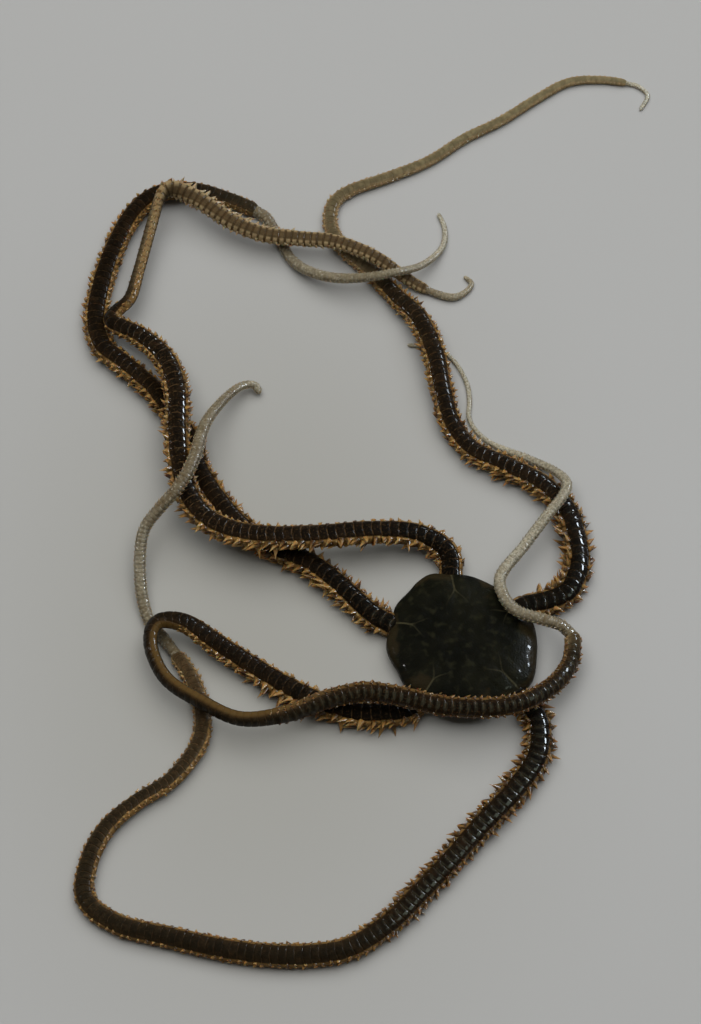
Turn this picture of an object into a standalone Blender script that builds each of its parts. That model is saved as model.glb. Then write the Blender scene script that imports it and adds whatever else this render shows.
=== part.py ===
"""A brittle star at life size, lying with its five long arms looped over one another.

The origin is on the floor under the middle of the disc, +X is to the right, +Y is away from
the viewer and +Z is up. Sizes are in millimetres until a mesh is made.
"""

import math
import random

import bmesh
import bpy
import numpy as np
from mathutils import Matrix

for leftover in list(bpy.data.objects):
    bpy.data.objects.remove(leftover)

MM = 0.001

# The space kept between two nodes that meet
GAP = 0.3

# The disc, the seat of each arm in its edge, and its angle step
DISC_R = 8.8
SEAT_DEPTH = 6.0
SEAT_SIDE_GAP = 0.4
DISC_STEP = 10

# The jaw frame under it and the slits between its jaws
MOUTH_R = 3.9
MOUTH_H = 0.7
SLIT_LENGTH = 2.2
SLIT_WIDTH = 0.5
SLIT_DEPTH = 0.35
SLIT_START = 0.9

# The raised plates by each arm's root: reach is a share of the disc's radius, spread is the
# angle from the arm's middle line in degrees, and splay turns their inner ends apart
SHIELD_LENGTH = 3.6
SHIELD_WIDTH = 1.5
SHIELD_THICK = 0.9
SHIELD_RAISED = 0.18
SHIELD_REACH = 0.70
SHIELD_SPREAD = 9.0
SHIELD_SPLAY = math.radians(8)

# Heights as shares of the width, the plates along the dark arm and the steps along its tip
TRUNK_HEIGHT = 0.75
TIP_HEIGHT = 0.85
PLATE_PITCH = 2.4
PLATE_SHARE = 0.8
PLATE_FLARE = 0.07
TIP_PITCH = 1.8

# The spines: length and root for an arm of the full width, how far the root is sunk as a
# share of the width, and the lean towards the arm's tip in degrees
FULL_WIDTH = 2.7
SPINE_LENGTH = 1.15
SPINE_ROOT_R = 0.42
SPINE_ROOT_SHARE = 0.28
SPINE_SUNK = 0.2
SPINE_LEAN = 22.0
SPINE_CLEAR = 0.45
SPINES_APART = 0.6
LEAST_SPINE = 0.3
LEAST_SPINE_WIDTH = 1.6
ROOT_BARE = 3.0
FLOOR_GAP = 0.05

# How an arm is divided into lengths: no length turns or runs on much further than this, and
# a cut falls where the arm is nearly straight
MOST_TURN = math.radians(75)
MOST_LENGTH = 26.0
CALM_TURN = math.radians(6)
LEAST_LENGTH = 6.0

# Steps between two points of a route, and the samples that tell how near another arm is
CURVE_STEPS = 12
SAMPLE_STEP = 0.4
OWN_LENGTH = 2.2
SHARP_ANGLE = math.radians(40)

# Colour and roughness of each material
LOOKS = {
    "disc": ((0.035, 0.033, 0.022), 0.55),
    "mouth": ((0.20, 0.15, 0.09), 0.60),
    "trunk": ((0.045, 0.026, 0.014), 0.35),
    "tip": ((0.30, 0.27, 0.21), 0.50),
}

# The disc's side view, from its back down and round to its underside, as shares of its
# radius and heights over the floor
DISC_PROFILE = (
    (0.36, 3.2), (0.68, 3.0), (0.88, 2.55), (0.97, 1.95), (1.0, 1.3), (0.98, 0.5), (0.90, 0.0),
)

# Half of an arm's section, from its underside up: shares of half its width and half its height
SECTION = ((0.60, -1.0), (1.0, -0.36), (0.94, 0.46), (0.48, 1.0))

# Height of each row of spines on the flank, as a share of half the arm's height, and how far
# its spines point up, in degrees
SPINE_ROWS = ((0.15, 32), (0.05, 6), (-0.08, -12))

# The way each arm leaves the disc, in degrees, and how far the edge stands out past DISC_R
# halfway to the next arm
ARM_DIRECTIONS = {"c": 33, "a": 99, "b": 164, "e": 236, "d": 316}
BULGES = {"c": -0.5, "a": 1.0, "b": 0.3, "e": 0.4, "d": 0.8}

# The route of each arm from the disc outwards. A point holds x, y, the height of the arm's
# underside over the floor, its roll in degrees (positive tips its back to the left of its
# run) and its width. The dark trunk ends abruptly, and a paler tip has grown again from it.
TRUNKS = {
    "a": [
        (-1.4, 8.4, 0, 5, 2.7), (-1.5, 11.3, 0.2, 8, 2.7), (-3.1, 13, 0.7, 5, 2.7),
        (-6.2, 14, 1.3, -5, 2.7), (-11, 13.9, 1.9, -8, 2.7), (-16.4, 13.2, 2.4, -8, 2.7),
        (-22.3, 12.9, 2.6, -8, 2.7), (-27.1, 13.6, 2.5, -5, 2.7), (-30.8, 15.7, 2.4, 0, 2.7),
        (-33, 19.3, 2.4, 0, 2.7), (-33.9, 23.8, 2.5, 0, 2.7), (-34.2, 27.8, 2.6, 0, 2.7),
        (-34.3, 32.4, 2.45, 0, 2.7), (-35.6, 36.9, 1.8, 0, 2.6), (-38.5, 40.3, 1.4, 0, 2.4),
        (-41.2, 41.8, 1.6, 10, 2.2), (-42.4, 42.8, 1.7, 30, 2.1), (-41.8, 44, 1.7, 40, 1.95),
        (-40.2, 45.8, 1.8, 50, 1.85), (-39.2, 49.9, 1.5, 62, 1.75), (-37.7, 56.2, 1.9, 65, 1.75),
        (-36.7, 59.5, 2.5, 90, 1.85), (-35.3, 60.6, 2.6, 135, 1.95), (-32.3, 59.4, 2.2, 168, 1.95),
        (-28.1, 56.5, 1.8, 176, 1.9), (-24.1, 54.7, 1.7, 180, 1.8), (-19.5, 54.1, 1.7, 180, 1.8),
        (-15.1, 53.4, 2.1, 180, 1.7), (-10.5, 51.4, 2.2, 180, 1.6), (-6.4, 49.2, 0.5, 180, 1.4),
        (-3.6, 47.8, 0, 180, 1.2),
    ],
    "b": [
        (-8.2, 2.3, 0, 10, 2.8), (-10.9, 3.9, 0, 2, 2.8), (-14.5, 7.4, 0, -8, 2.8),
        (-17.9, 10.3, 0, -8, 2.8), (-22, 12.4, 0, -3, 2.7), (-26.1, 15.2, 0, 0, 2.7),
        (-29.2, 19, 0, 0, 2.6), (-31.5, 23, 0, 5, 2.6), (-32.7, 27, 0, 5, 2.6),
        (-34.7, 30.4, 0, 0, 2.6), (-37.3, 34, 0, -10, 2.6), (-40.7, 37.2, 0, -12, 2.6),
        (-43.6, 40, 0, -5, 2.6), (-44.4, 43.8, 0, 0, 2.6), (-43.6, 49.1, 0, 5, 2.6),
        (-41.9, 54.6, 0, 10, 2.5), (-39.8, 58.8, 0, 10, 2.4), (-36.9, 61.3, 0, 10, 2.3),
        (-32.8, 61.8, 0, 10, 2.1), (-28.5, 60.5, 0, 10, 2.0), (-24.7, 58.7, 0, 10, 1.9),
    ],
    "c": [
        (7.3, 4.9, 0, 0, 2.8), (10.5, 5.7, 0, -5, 2.8), (12.7, 7.2, 0, -12, 2.8),
        (13.8, 10.6, 0, -16, 2.8), (13.5, 14.3, 0, -16, 2.8), (12.4, 17.7, 0, -12, 2.8),
        (9.8, 21, 0, -8, 2.6), (5.7, 23.4, 0, -5, 2.6), (1.4, 25.7, 0, -8, 2.5),
        (-1.1, 29.1, 0.2, -8, 2.5), (-2.2, 33.3, 0.6, -8, 2.5), (-3.1, 38.2, 0.9, -5, 2.6),
        (-4.9, 43.2, 0.6, 0, 2.5), (-7.7, 46.7, 0.1, 0, 2.3), (-10.8, 50.4, 0, 0, 2.0),
        (-14, 53.4, 0, 0, 1.8), (-15.7, 56.5, 0, 0, 1.7), (-15.5, 59.8, 0, 0, 1.6),
        (-13.3, 61.9, 0, 0, 1.5), (-8.4, 63.9, 0, 0, 1.4), (-3.5, 66.2, 0, 0, 1.3),
        (0.9, 69.4, 0, 0, 1.25), (5.4, 71.9, 0, 0, 1.2), (9.9, 75.1, 0, 0, 1.15),
        (13.9, 77.5, 0, 0, 1.1), (17.9, 77.9, 0, 0, 1.0), (21.4, 77.4, 0, 0, 0.9),
    ],
    "d": [
        (5.9, -6.1, 0, 8, 2.8), (8.1, -8.8, 0, 8, 2.8), (8.8, -11.1, 0, 8, 2.8),
        (8.3, -14.9, 0, 8, 2.8), (5.5, -19.1, 0, 10, 2.8), (2, -23, 0, 10, 2.8),
        (-1.4, -27.1, 0, 10, 2.7), (-5.2, -31.4, 0, 10, 2.7), (-8.9, -35.3, 0, 12, 2.7),
        (-13.9, -38.5, 0, 12, 2.7), (-20.3, -39.3, 0, 13, 2.7), (-27.2, -38.6, 0, 13, 2.6),
        (-34.1, -37, 0, 13, 2.5), (-40.1, -35.4, 0, 12, 2.4), (-43.8, -32.4, 0, 10, 2.3),
        (-43.8, -28.1, 0, 12, 2.2), (-41.8, -23.5, 0, 15, 2.1), (-38.3, -20.1, 0, 20, 2.0),
        (-34.2, -17.2, 0, 20, 2.0), (-31.1, -12.7, 0, 15, 2.0), (-30.8, -8.3, 0, 10, 1.9),
        (-32.1, -4.2, 0, 5, 1.8), (-34.2, -0.8, 0, 5, 1.7),
    ],
    "e": [
        (-4.7, -6.9, 0, 0, 2.7), (-6.4, -8.4, 0, 0, 2.7), (-9.3, -9, 0, 0, 2.7),
        (-12.7, -8.9, 0, 0, 2.7), (-16.9, -7.6, 0, 0, 2.7), (-21.1, -5.4, 0, 0, 2.7),
        (-25.2, -2.8, 0.2, 0, 2.6), (-29.4, -0.1, 0.9, 0, 2.5), (-32.8, 2, 1.7, -14, 2.4),
        (-35.5, 2.3, 2.1, -32, 2.2), (-36.8, 1, 2.1, -56, 2.1), (-36.7, -1.8, 1.9, -72, 2.0),
        (-34.8, -5.4, 1.9, -78, 2.0), (-30.7, -8.4, 2.3, -82, 2.0), (-26.2, -10.5, 2.3, -80, 2.0),
        (-21, -10, 2.4, -64, 2.1), (-16.3, -8.3, 2.7, -44, 2.2), (-11.6, -7.3, 2.8, -32, 2.3),
        (-7, -8.1, 3, -26, 2.3), (-2.3, -9.3, 3.2, -24, 2.3), (3, -9.5, 3.2, -24, 2.3),
        (7, -8.6, 3, -26, 2.2), (10.5, -6.1, 2.2, -28, 2.1), (12.5, -3, 1.6, -28, 2.0),
        (12.9, -0.2, 2, -20, 1.9), (12.4, 0.8, 2.2, -15, 1.8),
    ],
}
TIPS = {
    "a": [
        (-0.9, 47, 0, 180, 0.9), (0.8, 47.8, 0, 180, 0.7), (1.5, 49, 0, 180, 0.6),
        (0.6, 50, 0, 180, 0.5),
    ],
    "b": [
        (-23.5, 57.6, 0, 5, 1.4), (-22, 54.9, 0, 0, 1.2), (-20.6, 52.1, 0.2, 0, 1.2),
        (-18.4, 50.1, 0.8, 0, 1.2), (-15.2, 48.8, 1.5, 0, 1.2), (-11.6, 48.5, 2.2, 0, 1.1),
        (-7.9, 49, 2.6, 0, 1.0), (-4.5, 50.8, 1.3, 0, 0.85), (-2.1, 53.8, 0.2, 0, 0.7),
        (-1.7, 56.5, 0, 0, 0.6), (-2.5, 58.9, 0, 0, 0.5),
    ],
    "c": [
        (22.8, 76.9, 0, 0, 0.55), (23.8, 75.6, 0, 0, 0.5), (22.8, 73.6, 0, 0, 0.45),
    ],
    "d": [
        (-35.5, 1.1, 0, 5, 1.3), (-37.1, 3.1, 0, 0, 1.3), (-38.1, 6.4, 0.5, 0, 1.3),
        (-38.4, 10.6, 1.4, 0, 1.3), (-37.9, 13.9, 2.8, 0, 1.3), (-36, 16.1, 4.3, 0, 1.35),
        (-33.8, 18.5, 5.1, 0, 1.4), (-32, 22.3, 5.0, 0, 1.4), (-30.8, 27.7, 3.4, 0, 1.3),
        (-28.8, 31.6, 2.0, 0, 1.1), (-26.7, 34.1, 1.0, 0, 1.0), (-25, 34.6, 0.5, 0, 0.9),
        (-24.3, 33.6, 0.2, 0, 0.8),
    ],
    "e": [
        (11.4, 1.5, 2.7, -10, 1.4), (9.6, 2, 3.0, 0, 1.35), (6.4, 3, 3.3, 0, 1.3),
        (4.8, 5, 3.3, 0, 1.3), (4.5, 7.9, 2.8, 0, 1.3), (7.3, 12, 2.3, 0, 1.25),
        (10, 15.8, 2.5, 0, 1.2), (12, 18.5, 2.6, 0, 1.15), (12.6, 20.6, 2, 0, 1.1),
        (11.3, 22.7, 0.9, 0, 1.0), (8.4, 24.7, 0, 0, 0.95), (5.5, 26, 0, 0, 0.8),
        (3.4, 27.2, 0, 0, 0.6), (1.8, 28.8, 0, 0, 0.55), (1, 30.6, 0, 0, 0.55),
        (1.1, 32.6, 0, 0, 0.55), (0.9, 34.8, 0, 0, 0.55), (-0.1, 37.3, 0, 0, 0.5),
        (-1.5, 39.1, 0, 0, 0.5), (-3.6, 40.1, 0, 0, 0.5), (-6.4, 40.5, 0, 0, 0.45),
    ],
}


def smooth(points):
    """A Catmull-Rom curve through the rows of points, every column alike."""
    rows = np.array(points, float)
    rows = np.vstack([2 * rows[0] - rows[1], rows, 2 * rows[-1] - rows[-2]])
    t = np.linspace(0, 1, CURVE_STEPS, endpoint=False)[:, None]
    spans = []
    for before, start, end, after in zip(rows, rows[1:], rows[2:], rows[3:]):
        linear = end - before
        square = 2 * before - 5 * start + 4 * end - after
        cube = 3 * start - before - 3 * end + after
        spans.append(start + 0.5 * (linear * t + square * t**2 + cube * t**3))
    return np.vstack(spans + [rows[-2:-1]])


class Arm:
    """The axis, frame and section of one arm along its length."""

    def __init__(self, name):
        self.name = name
        rows = smooth(TRUNKS[name] + TIPS[name])
        tip_start = CURVE_STEPS * (len(TRUNKS[name]) - 1)
        width = rows[:, 4].copy()
        trunk_width = TRUNKS[name][-1][4]
        tip_width = TIPS[name][0][4]
        width[: tip_start + 1] = np.maximum(width[: tip_start + 1], trunk_width)
        width[tip_start + 1 : tip_start + 1 + CURVE_STEPS] = tip_width
        share = np.where(np.arange(len(rows)) <= tip_start, TRUNK_HEIGHT, TIP_HEIGHT)
        height = width * share
        lift = np.maximum(rows[:, 2], 0)
        centre = np.column_stack([rows[:, 0], rows[:, 1], lift + height / 2])
        step = np.linalg.norm(np.diff(centre, axis=0), axis=1)
        self.along = np.concatenate([[0], np.cumsum(step)])
        self.change = self.along[tip_start]
        self.length = self.along[-1]
        self.rows = np.column_stack([centre, rows[:, 3], width, height])

    def at(self, s):
        """Centre, side, up and tangent vectors, width and height at s along the axis."""
        x, y, z, roll, width, height = (np.interp(s, self.along, col) for col in self.rows.T)
        near = np.clip([s - 0.5, s + 0.5], 0, self.length)
        ends = [[np.interp(n, self.along, col) for col in self.rows.T[:3]] for n in near]
        tangent = np.subtract(ends[1], ends[0])
        tangent /= np.linalg.norm(tangent)
        side = np.cross(tangent, (0, 0, 1))
        side /= np.linalg.norm(side)
        up = np.cross(side, tangent)
        turn = math.radians(roll)
        rolled_up = up * math.cos(turn) - side * math.sin(turn)
        rolled_side = side * math.cos(turn) + up * math.sin(turn)
        return np.array([x, y, z]), rolled_side, rolled_up, tangent, width, height

    def stretches(self):
        """Names and ends of the lengths the arm is divided into, none long or much bent."""
        found = []
        for part, start, end in (("trunk", 0, self.change), ("tip", self.change, self.length)):
            cuts = [start]
            turned = 0.0
            heading = self.at(start)[3]
            for s in np.arange(start + 0.5, end, 0.5):
                ahead = self.at(s)[3]
                turn = math.acos(min(1.0, float(heading @ ahead)))
                turned += turn
                heading = ahead
                full = turned > MOST_TURN or s - cuts[-1] > MOST_LENGTH
                if full and turn < CALM_TURN and end - s > LEAST_LENGTH:
                    cuts.append(s)
                    turned = 0.0
            cuts.append(end)
            for number, (a, b) in enumerate(zip(cuts, cuts[1:]), 1):
                found.append((f"arm_{self.name}_{part}_{number}", part, a, b))
        return found


def disc_edge(angle):
    """The disc's radius at an angle in degrees, lowest at each arm."""
    order = sorted(ARM_DIRECTIONS.items(), key=lambda item: item[1])
    for (name, start), (_, end) in zip(order, order[1:] + order[:1]):
        span = (end - start) % 360
        share = ((angle - start) % 360) / span
        if share <= 1:
            return DISC_R + BULGES[name] * math.sin(math.pi * share)
    return DISC_R


def disc_top(share):
    """Height of the disc's back at a share of its radius."""
    rows = DISC_PROFILE[:5]
    return float(np.interp(share, [row[0] for row in rows], [row[1] for row in rows]))


def plain_object(name, mesh):
    """An object in no collection yet, holding a bmesh that is in millimetres."""
    data = bpy.data.meshes.new(name)
    bmesh.ops.recalc_face_normals(mesh, faces=mesh.faces)
    bmesh.ops.scale(mesh, vec=(MM, MM, MM), verts=mesh.verts)
    mesh.to_mesh(data)
    mesh.free()
    return bpy.data.objects.new(name, data)


def shade(data):
    """Smooth shading, but for edges that turn sharply."""
    data.shade_smooth()
    data.set_sharp_from_angle(angle=SHARP_ANGLE)


def new_node(name, look, mesh):
    """One named node holding the bmesh, with its own material."""
    node = plain_object(name, mesh)
    shade(node.data)
    colour, roughness = LOOKS[look]
    material = bpy.data.materials.new(name)
    material.use_nodes = True
    shader = material.node_tree.nodes["Principled BSDF"]
    shader.inputs["Base Color"].default_value = (*colour, 1)
    shader.inputs["Roughness"].default_value = roughness
    node.data.materials.append(material)
    bpy.context.collection.objects.link(node)
    return node


def skin_rings(rings):
    """A closed bmesh through rings of points, with flat ends."""
    mesh = bmesh.new()
    made = [[mesh.verts.new(point) for point in ring] for ring in rings]
    for ring, following in zip(made, made[1:]):
        for i in range(len(ring)):
            j = (i + 1) % len(ring)
            mesh.faces.new((ring[i], ring[j], following[j], following[i]))
    mesh.faces.new(made[0][::-1])
    mesh.faces.new(made[-1])
    bmesh.ops.triangulate(mesh, faces=mesh.faces)
    return mesh


def round_ring(radius_at, z):
    """A ring of points at one height round the disc's middle."""
    ring = []
    for angle in range(0, 360, DISC_STEP):
        turn = math.radians(angle)
        radius = radius_at(angle)
        ring.append((radius * math.cos(turn), radius * math.sin(turn), z))
    return ring


def build_disc():
    """The disc: flat under, domed over, with a recess for the mouth frame and a seat for each arm."""
    rings = [round_ring(lambda angle: disc_edge(angle) * share, z) for share, z in DISC_PROFILE]
    rings.append(round_ring(lambda angle: MOUTH_R + GAP, 0.0))
    rings.append(round_ring(lambda angle: MOUTH_R + GAP, MOUTH_H + GAP))
    disc = new_node("disc", "disc", skin_rings(rings))
    shields = []
    for angle in ARM_DIRECTIONS.values():
        shields.append(build_shield(angle, 1))
        shields.append(build_shield(angle, -1))
    fuse(disc, shields)
    for arm in ARMS.values():
        cut_seat(disc, arm)


def build_shield(arm_angle, hand):
    """One of the pair of raised oval plates on the disc's back that stand by an arm's root."""
    angle = arm_angle + hand * SHIELD_SPREAD
    radius = disc_edge(angle) * SHIELD_REACH
    inner, outer = (disc_top(SHIELD_REACH + step / DISC_R) for step in (-1, 1))
    place = (
        Matrix.Rotation(math.radians(angle), 4, "Z")
        @ Matrix.Translation((radius, 0, disc_top(SHIELD_REACH) + SHIELD_RAISED - SHIELD_THICK / 2))
        @ Matrix.Rotation(math.atan2(inner - outer, 2), 4, "Y")
        @ Matrix.Rotation(hand * SHIELD_SPLAY, 4, "Z")
        @ Matrix.Diagonal((SHIELD_LENGTH / 2, SHIELD_WIDTH / 2, SHIELD_THICK / 2, 1))
    )
    mesh = bmesh.new()
    bmesh.ops.create_uvsphere(mesh, u_segments=8, v_segments=6, radius=1, matrix=place)
    return plain_object("shield", mesh)


def add_box(mesh, middle, along, half):
    """Adds a box to a mesh, its half sizes taken along a level direction, across it and up."""
    across = (-along[1], along[0])
    place = Matrix(
        (
            (along[0] * half[0], across[0] * half[1], 0, middle[0]),
            (along[1] * half[0], across[1] * half[1], 0, middle[1]),
            (0, 0, half[2], middle[2]),
            (0, 0, 0, 1),
        )
    )
    bmesh.ops.create_cube(mesh, size=2, matrix=place)


def cut(node, name, mesh):
    """Cuts the closed shapes of a bmesh out of a node."""
    cutter = plain_object(name, mesh)
    cutter.hide_render = True
    cutter.display_type = "WIRE"
    bpy.context.collection.objects.link(cutter)
    modifier = node.modifiers.new(name, "BOOLEAN")
    modifier.operation = "DIFFERENCE"
    modifier.object = cutter


def cut_seat(disc, arm):
    """A notch in the disc's edge that the root of one arm sits in."""
    centre, _, _, tangent, width, _ = arm.at(0)
    middle = centre + tangent * (SEAT_DEPTH / 2 - GAP)
    half = (SEAT_DEPTH / 2, width / 2 + SEAT_SIDE_GAP, SEAT_DEPTH)
    box = bmesh.new()
    add_box(box, (middle[0], middle[1], 0), tangent, half)
    cut(disc, "seat_" + arm.name, box)


def build_mouth_frame():
    """The flat jaw frame under the disc's middle, with a slit between each two jaws."""
    rings = [round_ring(lambda angle: MOUTH_R, z) for z in (MOUTH_H, 0.0)]
    frame = new_node("mouth_frame", "mouth", skin_rings(rings))
    slits = bmesh.new()
    for angle in ARM_DIRECTIONS.values():
        along = (math.cos(math.radians(angle)), math.sin(math.radians(angle)))
        reach = SLIT_START + SLIT_LENGTH / 2
        middle = (along[0] * reach, along[1] * reach, 0)
        add_box(slits, middle, along, (SLIT_LENGTH / 2, SLIT_WIDTH / 2, SLIT_DEPTH))
    cut(frame, "mouth_slits", slits)


def sample_arms():
    """Points along every arm: the arm's name, the length along it, the place and the radius."""
    names, rows = [], []
    for arm in ARMS.values():
        for s in np.arange(0, arm.length, SAMPLE_STEP):
            centre, _, _, _, width, height = arm.at(s)
            names.append(arm.name)
            rows.append((s, *centre, max(width, height) / 2))
    return np.array(names), np.array(rows)


def is_free(point, arm_name, s):
    """Whether a point near s on an arm is clear of the floor, the disc and every other length."""
    if point[2] < FLOOR_GAP:
        return False
    edge = disc_edge(math.degrees(math.atan2(point[1], point[0])))
    share = math.hypot(point[0], point[1]) / edge
    if share < 1 + SPINE_CLEAR / edge and point[2] < disc_top(share) + SPINE_CLEAR:
        return False
    near = (SAMPLE_NAMES == arm_name) & (np.abs(SAMPLES[:, 0] - s) < OWN_LENGTH)
    others = SAMPLES[~near]
    away = np.linalg.norm(others[:, 1:4] - point, axis=1) - others[:, 4]
    if away.min() < SPINE_CLEAR:
        return False
    return not any(math.dist(point, other) < SPINES_APART for other in PLACED)


def section(arm, s, flare, inset=0):
    """The ring of the arm's body at s, flat under and arched over, never below the floor."""
    centre, side, up, tangent, width, height = arm.at(s)
    centre = centre + tangent * inset
    half = SECTION + tuple((-across, rise) for across, rise in SECTION[::-1])
    ring = []
    for across, rise in half:
        wide = across * width / 2 * (1 + flare)
        high = rise * height / 2 * (1 + flare if rise > 0.5 else 1)
        point = centre + side * wide + up * high
        ring.append((point[0], point[1], max(point[2], 0.0)))
    return ring


def build_spine(root, way, tangent, length, radius):
    """A four-sided spine from its sunken root to its tip, one edge towards the arm's tip."""
    across = tangent - way * (tangent @ way)
    across /= np.linalg.norm(across)
    over = np.cross(way, across)
    mesh = bmesh.new()
    corners = [mesh.verts.new(root + side * radius) for side in (across, over, -across, -over)]
    tip = mesh.verts.new(root + way * length)
    for first, second in zip(corners, corners[1:] + corners[:1]):
        mesh.faces.new((first, second, tip))
    mesh.faces.new(corners)
    return plain_object("spine", mesh)


def free_length(arm, s, skin, way, full):
    """How long a spine can be, at most full, and still stay clear of everything."""
    for share in (1.0, 0.85, 0.7, 0.55, 0.4):
        reach = full * share
        if is_free(skin + way * reach, arm.name, s) and is_free(skin + way * reach / 2, arm.name, s):
            return reach
    return 0.0


def spines_of(arm, start, pitch, plates):
    """One spine a side on every plate, shortened or left out where it would touch something."""
    found = []
    taken = []
    for i in range(plates):
        for hand in (1, -1):
            s = start + pitch * (i + DRAW.uniform(0.32, 0.42))
            centre, side, up, tangent, width, height = arm.at(s)
            if width < LEAST_SPINE_WIDTH or s < ROOT_BARE:
                continue
            rise, angle = SPINE_ROWS[(i + (hand > 0)) % len(SPINE_ROWS)]
            raised = math.radians(angle + DRAW.uniform(-6, 6))
            lean = math.radians(SPINE_LEAN + DRAW.uniform(-6, 6))
            out = side * hand * math.cos(raised) + up * math.sin(raised)
            way = out * math.cos(lean) + tangent * math.sin(lean)
            skin = centre + side * hand * width / 2 + up * rise * height / 2
            full = SPINE_LENGTH * width / FULL_WIDTH * DRAW.uniform(0.85, 1.15)
            length = free_length(arm, s, skin, way, full)
            if length > LEAST_SPINE:
                sunk = SPINE_SUNK * width
                radius = min(SPINE_ROOT_R, SPINE_ROOT_SHARE * height)
                found.append(build_spine(skin - way * sunk, way, tangent, length + sunk, radius))
                taken.extend(skin + way * length * share for share in (0.0, 0.5, 1.0))
    PLACED.extend(taken)
    return found


def fuse(node, pieces):
    """Joins closed pieces to a node in one union and keeps its largest closed surface."""
    group = bpy.data.collections.new(node.name + "_pieces")
    bpy.context.scene.collection.children.link(group)
    for piece in pieces:
        group.objects.link(piece)
    union = node.modifiers.new("pieces", "BOOLEAN")
    union.operation = "UNION"
    union.operand_type = "COLLECTION"
    union.collection = group
    union.solver = "EXACT"
    bpy.context.view_layer.update()
    graph = bpy.context.evaluated_depsgraph_get()
    joined = bpy.data.meshes.new_from_object(node.evaluated_get(graph))
    node.modifiers.clear()
    for piece in list(group.objects):
        bpy.data.objects.remove(piece)
    bpy.data.collections.remove(group)
    keep_largest(joined)
    shade(joined)
    old = node.data
    node.data = joined
    joined.name = node.name
    bpy.data.meshes.remove(old)


def keep_largest(data):
    """Removes every closed surface of a mesh but the one that holds the most."""
    mesh = bmesh.new()
    mesh.from_mesh(data)
    left = set(mesh.faces)
    bodies = []
    while left:
        grown = [left.pop()]
        body = list(grown)
        while grown:
            face = grown.pop()
            for edge in face.edges:
                for other in edge.link_faces:
                    if other in left:
                        left.discard(other)
                        grown.append(other)
                        body.append(other)
        bodies.append(body)
    bodies.sort(key=len)
    scraps = [face for body in bodies[:-1] for face in body]
    bmesh.ops.delete(mesh, geom=scraps, context="FACES")
    mesh.to_mesh(data)
    mesh.free()


def build_trunk(arm, name, start, end):
    """One length of the dark arm: a plate after a plate, each a little wider at its far edge."""
    plates = max(1, round((end - start) / PLATE_PITCH))
    pitch = (end - start) / plates
    rings = [section(arm, start, -PLATE_FLARE, GAP / 2)]
    for i in range(plates):
        if i > 0:
            rings.append(section(arm, start + i * pitch, -PLATE_FLARE))
        rings.append(section(arm, start + (i + PLATE_SHARE) * pitch, PLATE_FLARE))
    rings.append(section(arm, end, -PLATE_FLARE, -GAP / 2))
    node = new_node(name, "trunk", skin_rings(rings))
    spines = spines_of(arm, start, pitch, plates)
    if spines:
        fuse(node, spines)


def build_tip(arm, name, start, end):
    """One length of the smooth pale arm that has grown again."""
    steps = max(2, round((end - start) / TIP_PITCH))
    rings = [section(arm, start, 0, GAP / 2)]
    rings.extend(section(arm, s, 0) for s in np.linspace(start, end, steps + 1)[1:-1])
    rings.append(section(arm, end, 0, -GAP / 2))
    new_node(name, "tip", skin_rings(rings))


DRAW = random.Random(11)
ARMS = {name: Arm(name) for name in TRUNKS}
SAMPLE_NAMES, SAMPLES = sample_arms()
PLACED = []

build_disc()
build_mouth_frame()
for arm in ARMS.values():
    for name, part, start, end in arm.stretches():
        build = build_trunk if part == "trunk" else build_tip
        build(arm, name, start, end)
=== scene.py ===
"""The finish of a life-size brittle star that lies with its arms looped over one another.

Sizes are in millimetres until a mesh is made. The origin is on the floor under the middle of
the disc, +X is to the right, +Y is away from the viewer and +Z is up.
"""

import math

import bpy
import numpy as np
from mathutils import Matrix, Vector


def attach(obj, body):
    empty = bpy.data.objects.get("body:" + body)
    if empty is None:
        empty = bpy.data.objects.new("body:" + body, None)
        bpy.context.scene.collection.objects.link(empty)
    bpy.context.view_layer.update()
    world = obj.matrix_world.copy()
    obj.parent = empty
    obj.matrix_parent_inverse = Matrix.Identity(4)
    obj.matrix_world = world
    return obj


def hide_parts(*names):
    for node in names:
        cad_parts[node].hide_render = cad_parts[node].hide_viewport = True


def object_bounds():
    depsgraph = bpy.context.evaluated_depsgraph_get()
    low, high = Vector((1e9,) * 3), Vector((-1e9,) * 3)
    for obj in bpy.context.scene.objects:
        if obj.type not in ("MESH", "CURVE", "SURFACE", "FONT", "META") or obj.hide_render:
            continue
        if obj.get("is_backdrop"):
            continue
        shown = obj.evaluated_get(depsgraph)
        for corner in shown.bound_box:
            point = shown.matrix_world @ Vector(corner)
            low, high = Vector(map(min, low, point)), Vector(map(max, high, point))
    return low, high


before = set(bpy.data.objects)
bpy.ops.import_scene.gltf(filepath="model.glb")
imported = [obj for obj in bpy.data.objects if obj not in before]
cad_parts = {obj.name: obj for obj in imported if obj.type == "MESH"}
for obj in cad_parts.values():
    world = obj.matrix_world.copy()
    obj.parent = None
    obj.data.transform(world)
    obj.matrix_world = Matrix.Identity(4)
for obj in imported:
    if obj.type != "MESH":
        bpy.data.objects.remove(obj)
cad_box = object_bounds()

NODES = sorted(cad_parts)

# The skin of the disc
#
# A soft leathery skin, olive black and wet, stretched over a round cushion of a body. Ten
# low oval plates lie just under it, two by the root of each arm, with a pale line between
# the two, and its margin is thinner and browner. Below, it hangs in five slack folds.

MM = 0.001

DISC_R = 8.8
DISC_TOP = 3.25
ARM_DIRECTIONS = {"c": 33, "a": 99, "b": 164, "e": 236, "d": 316}

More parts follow.
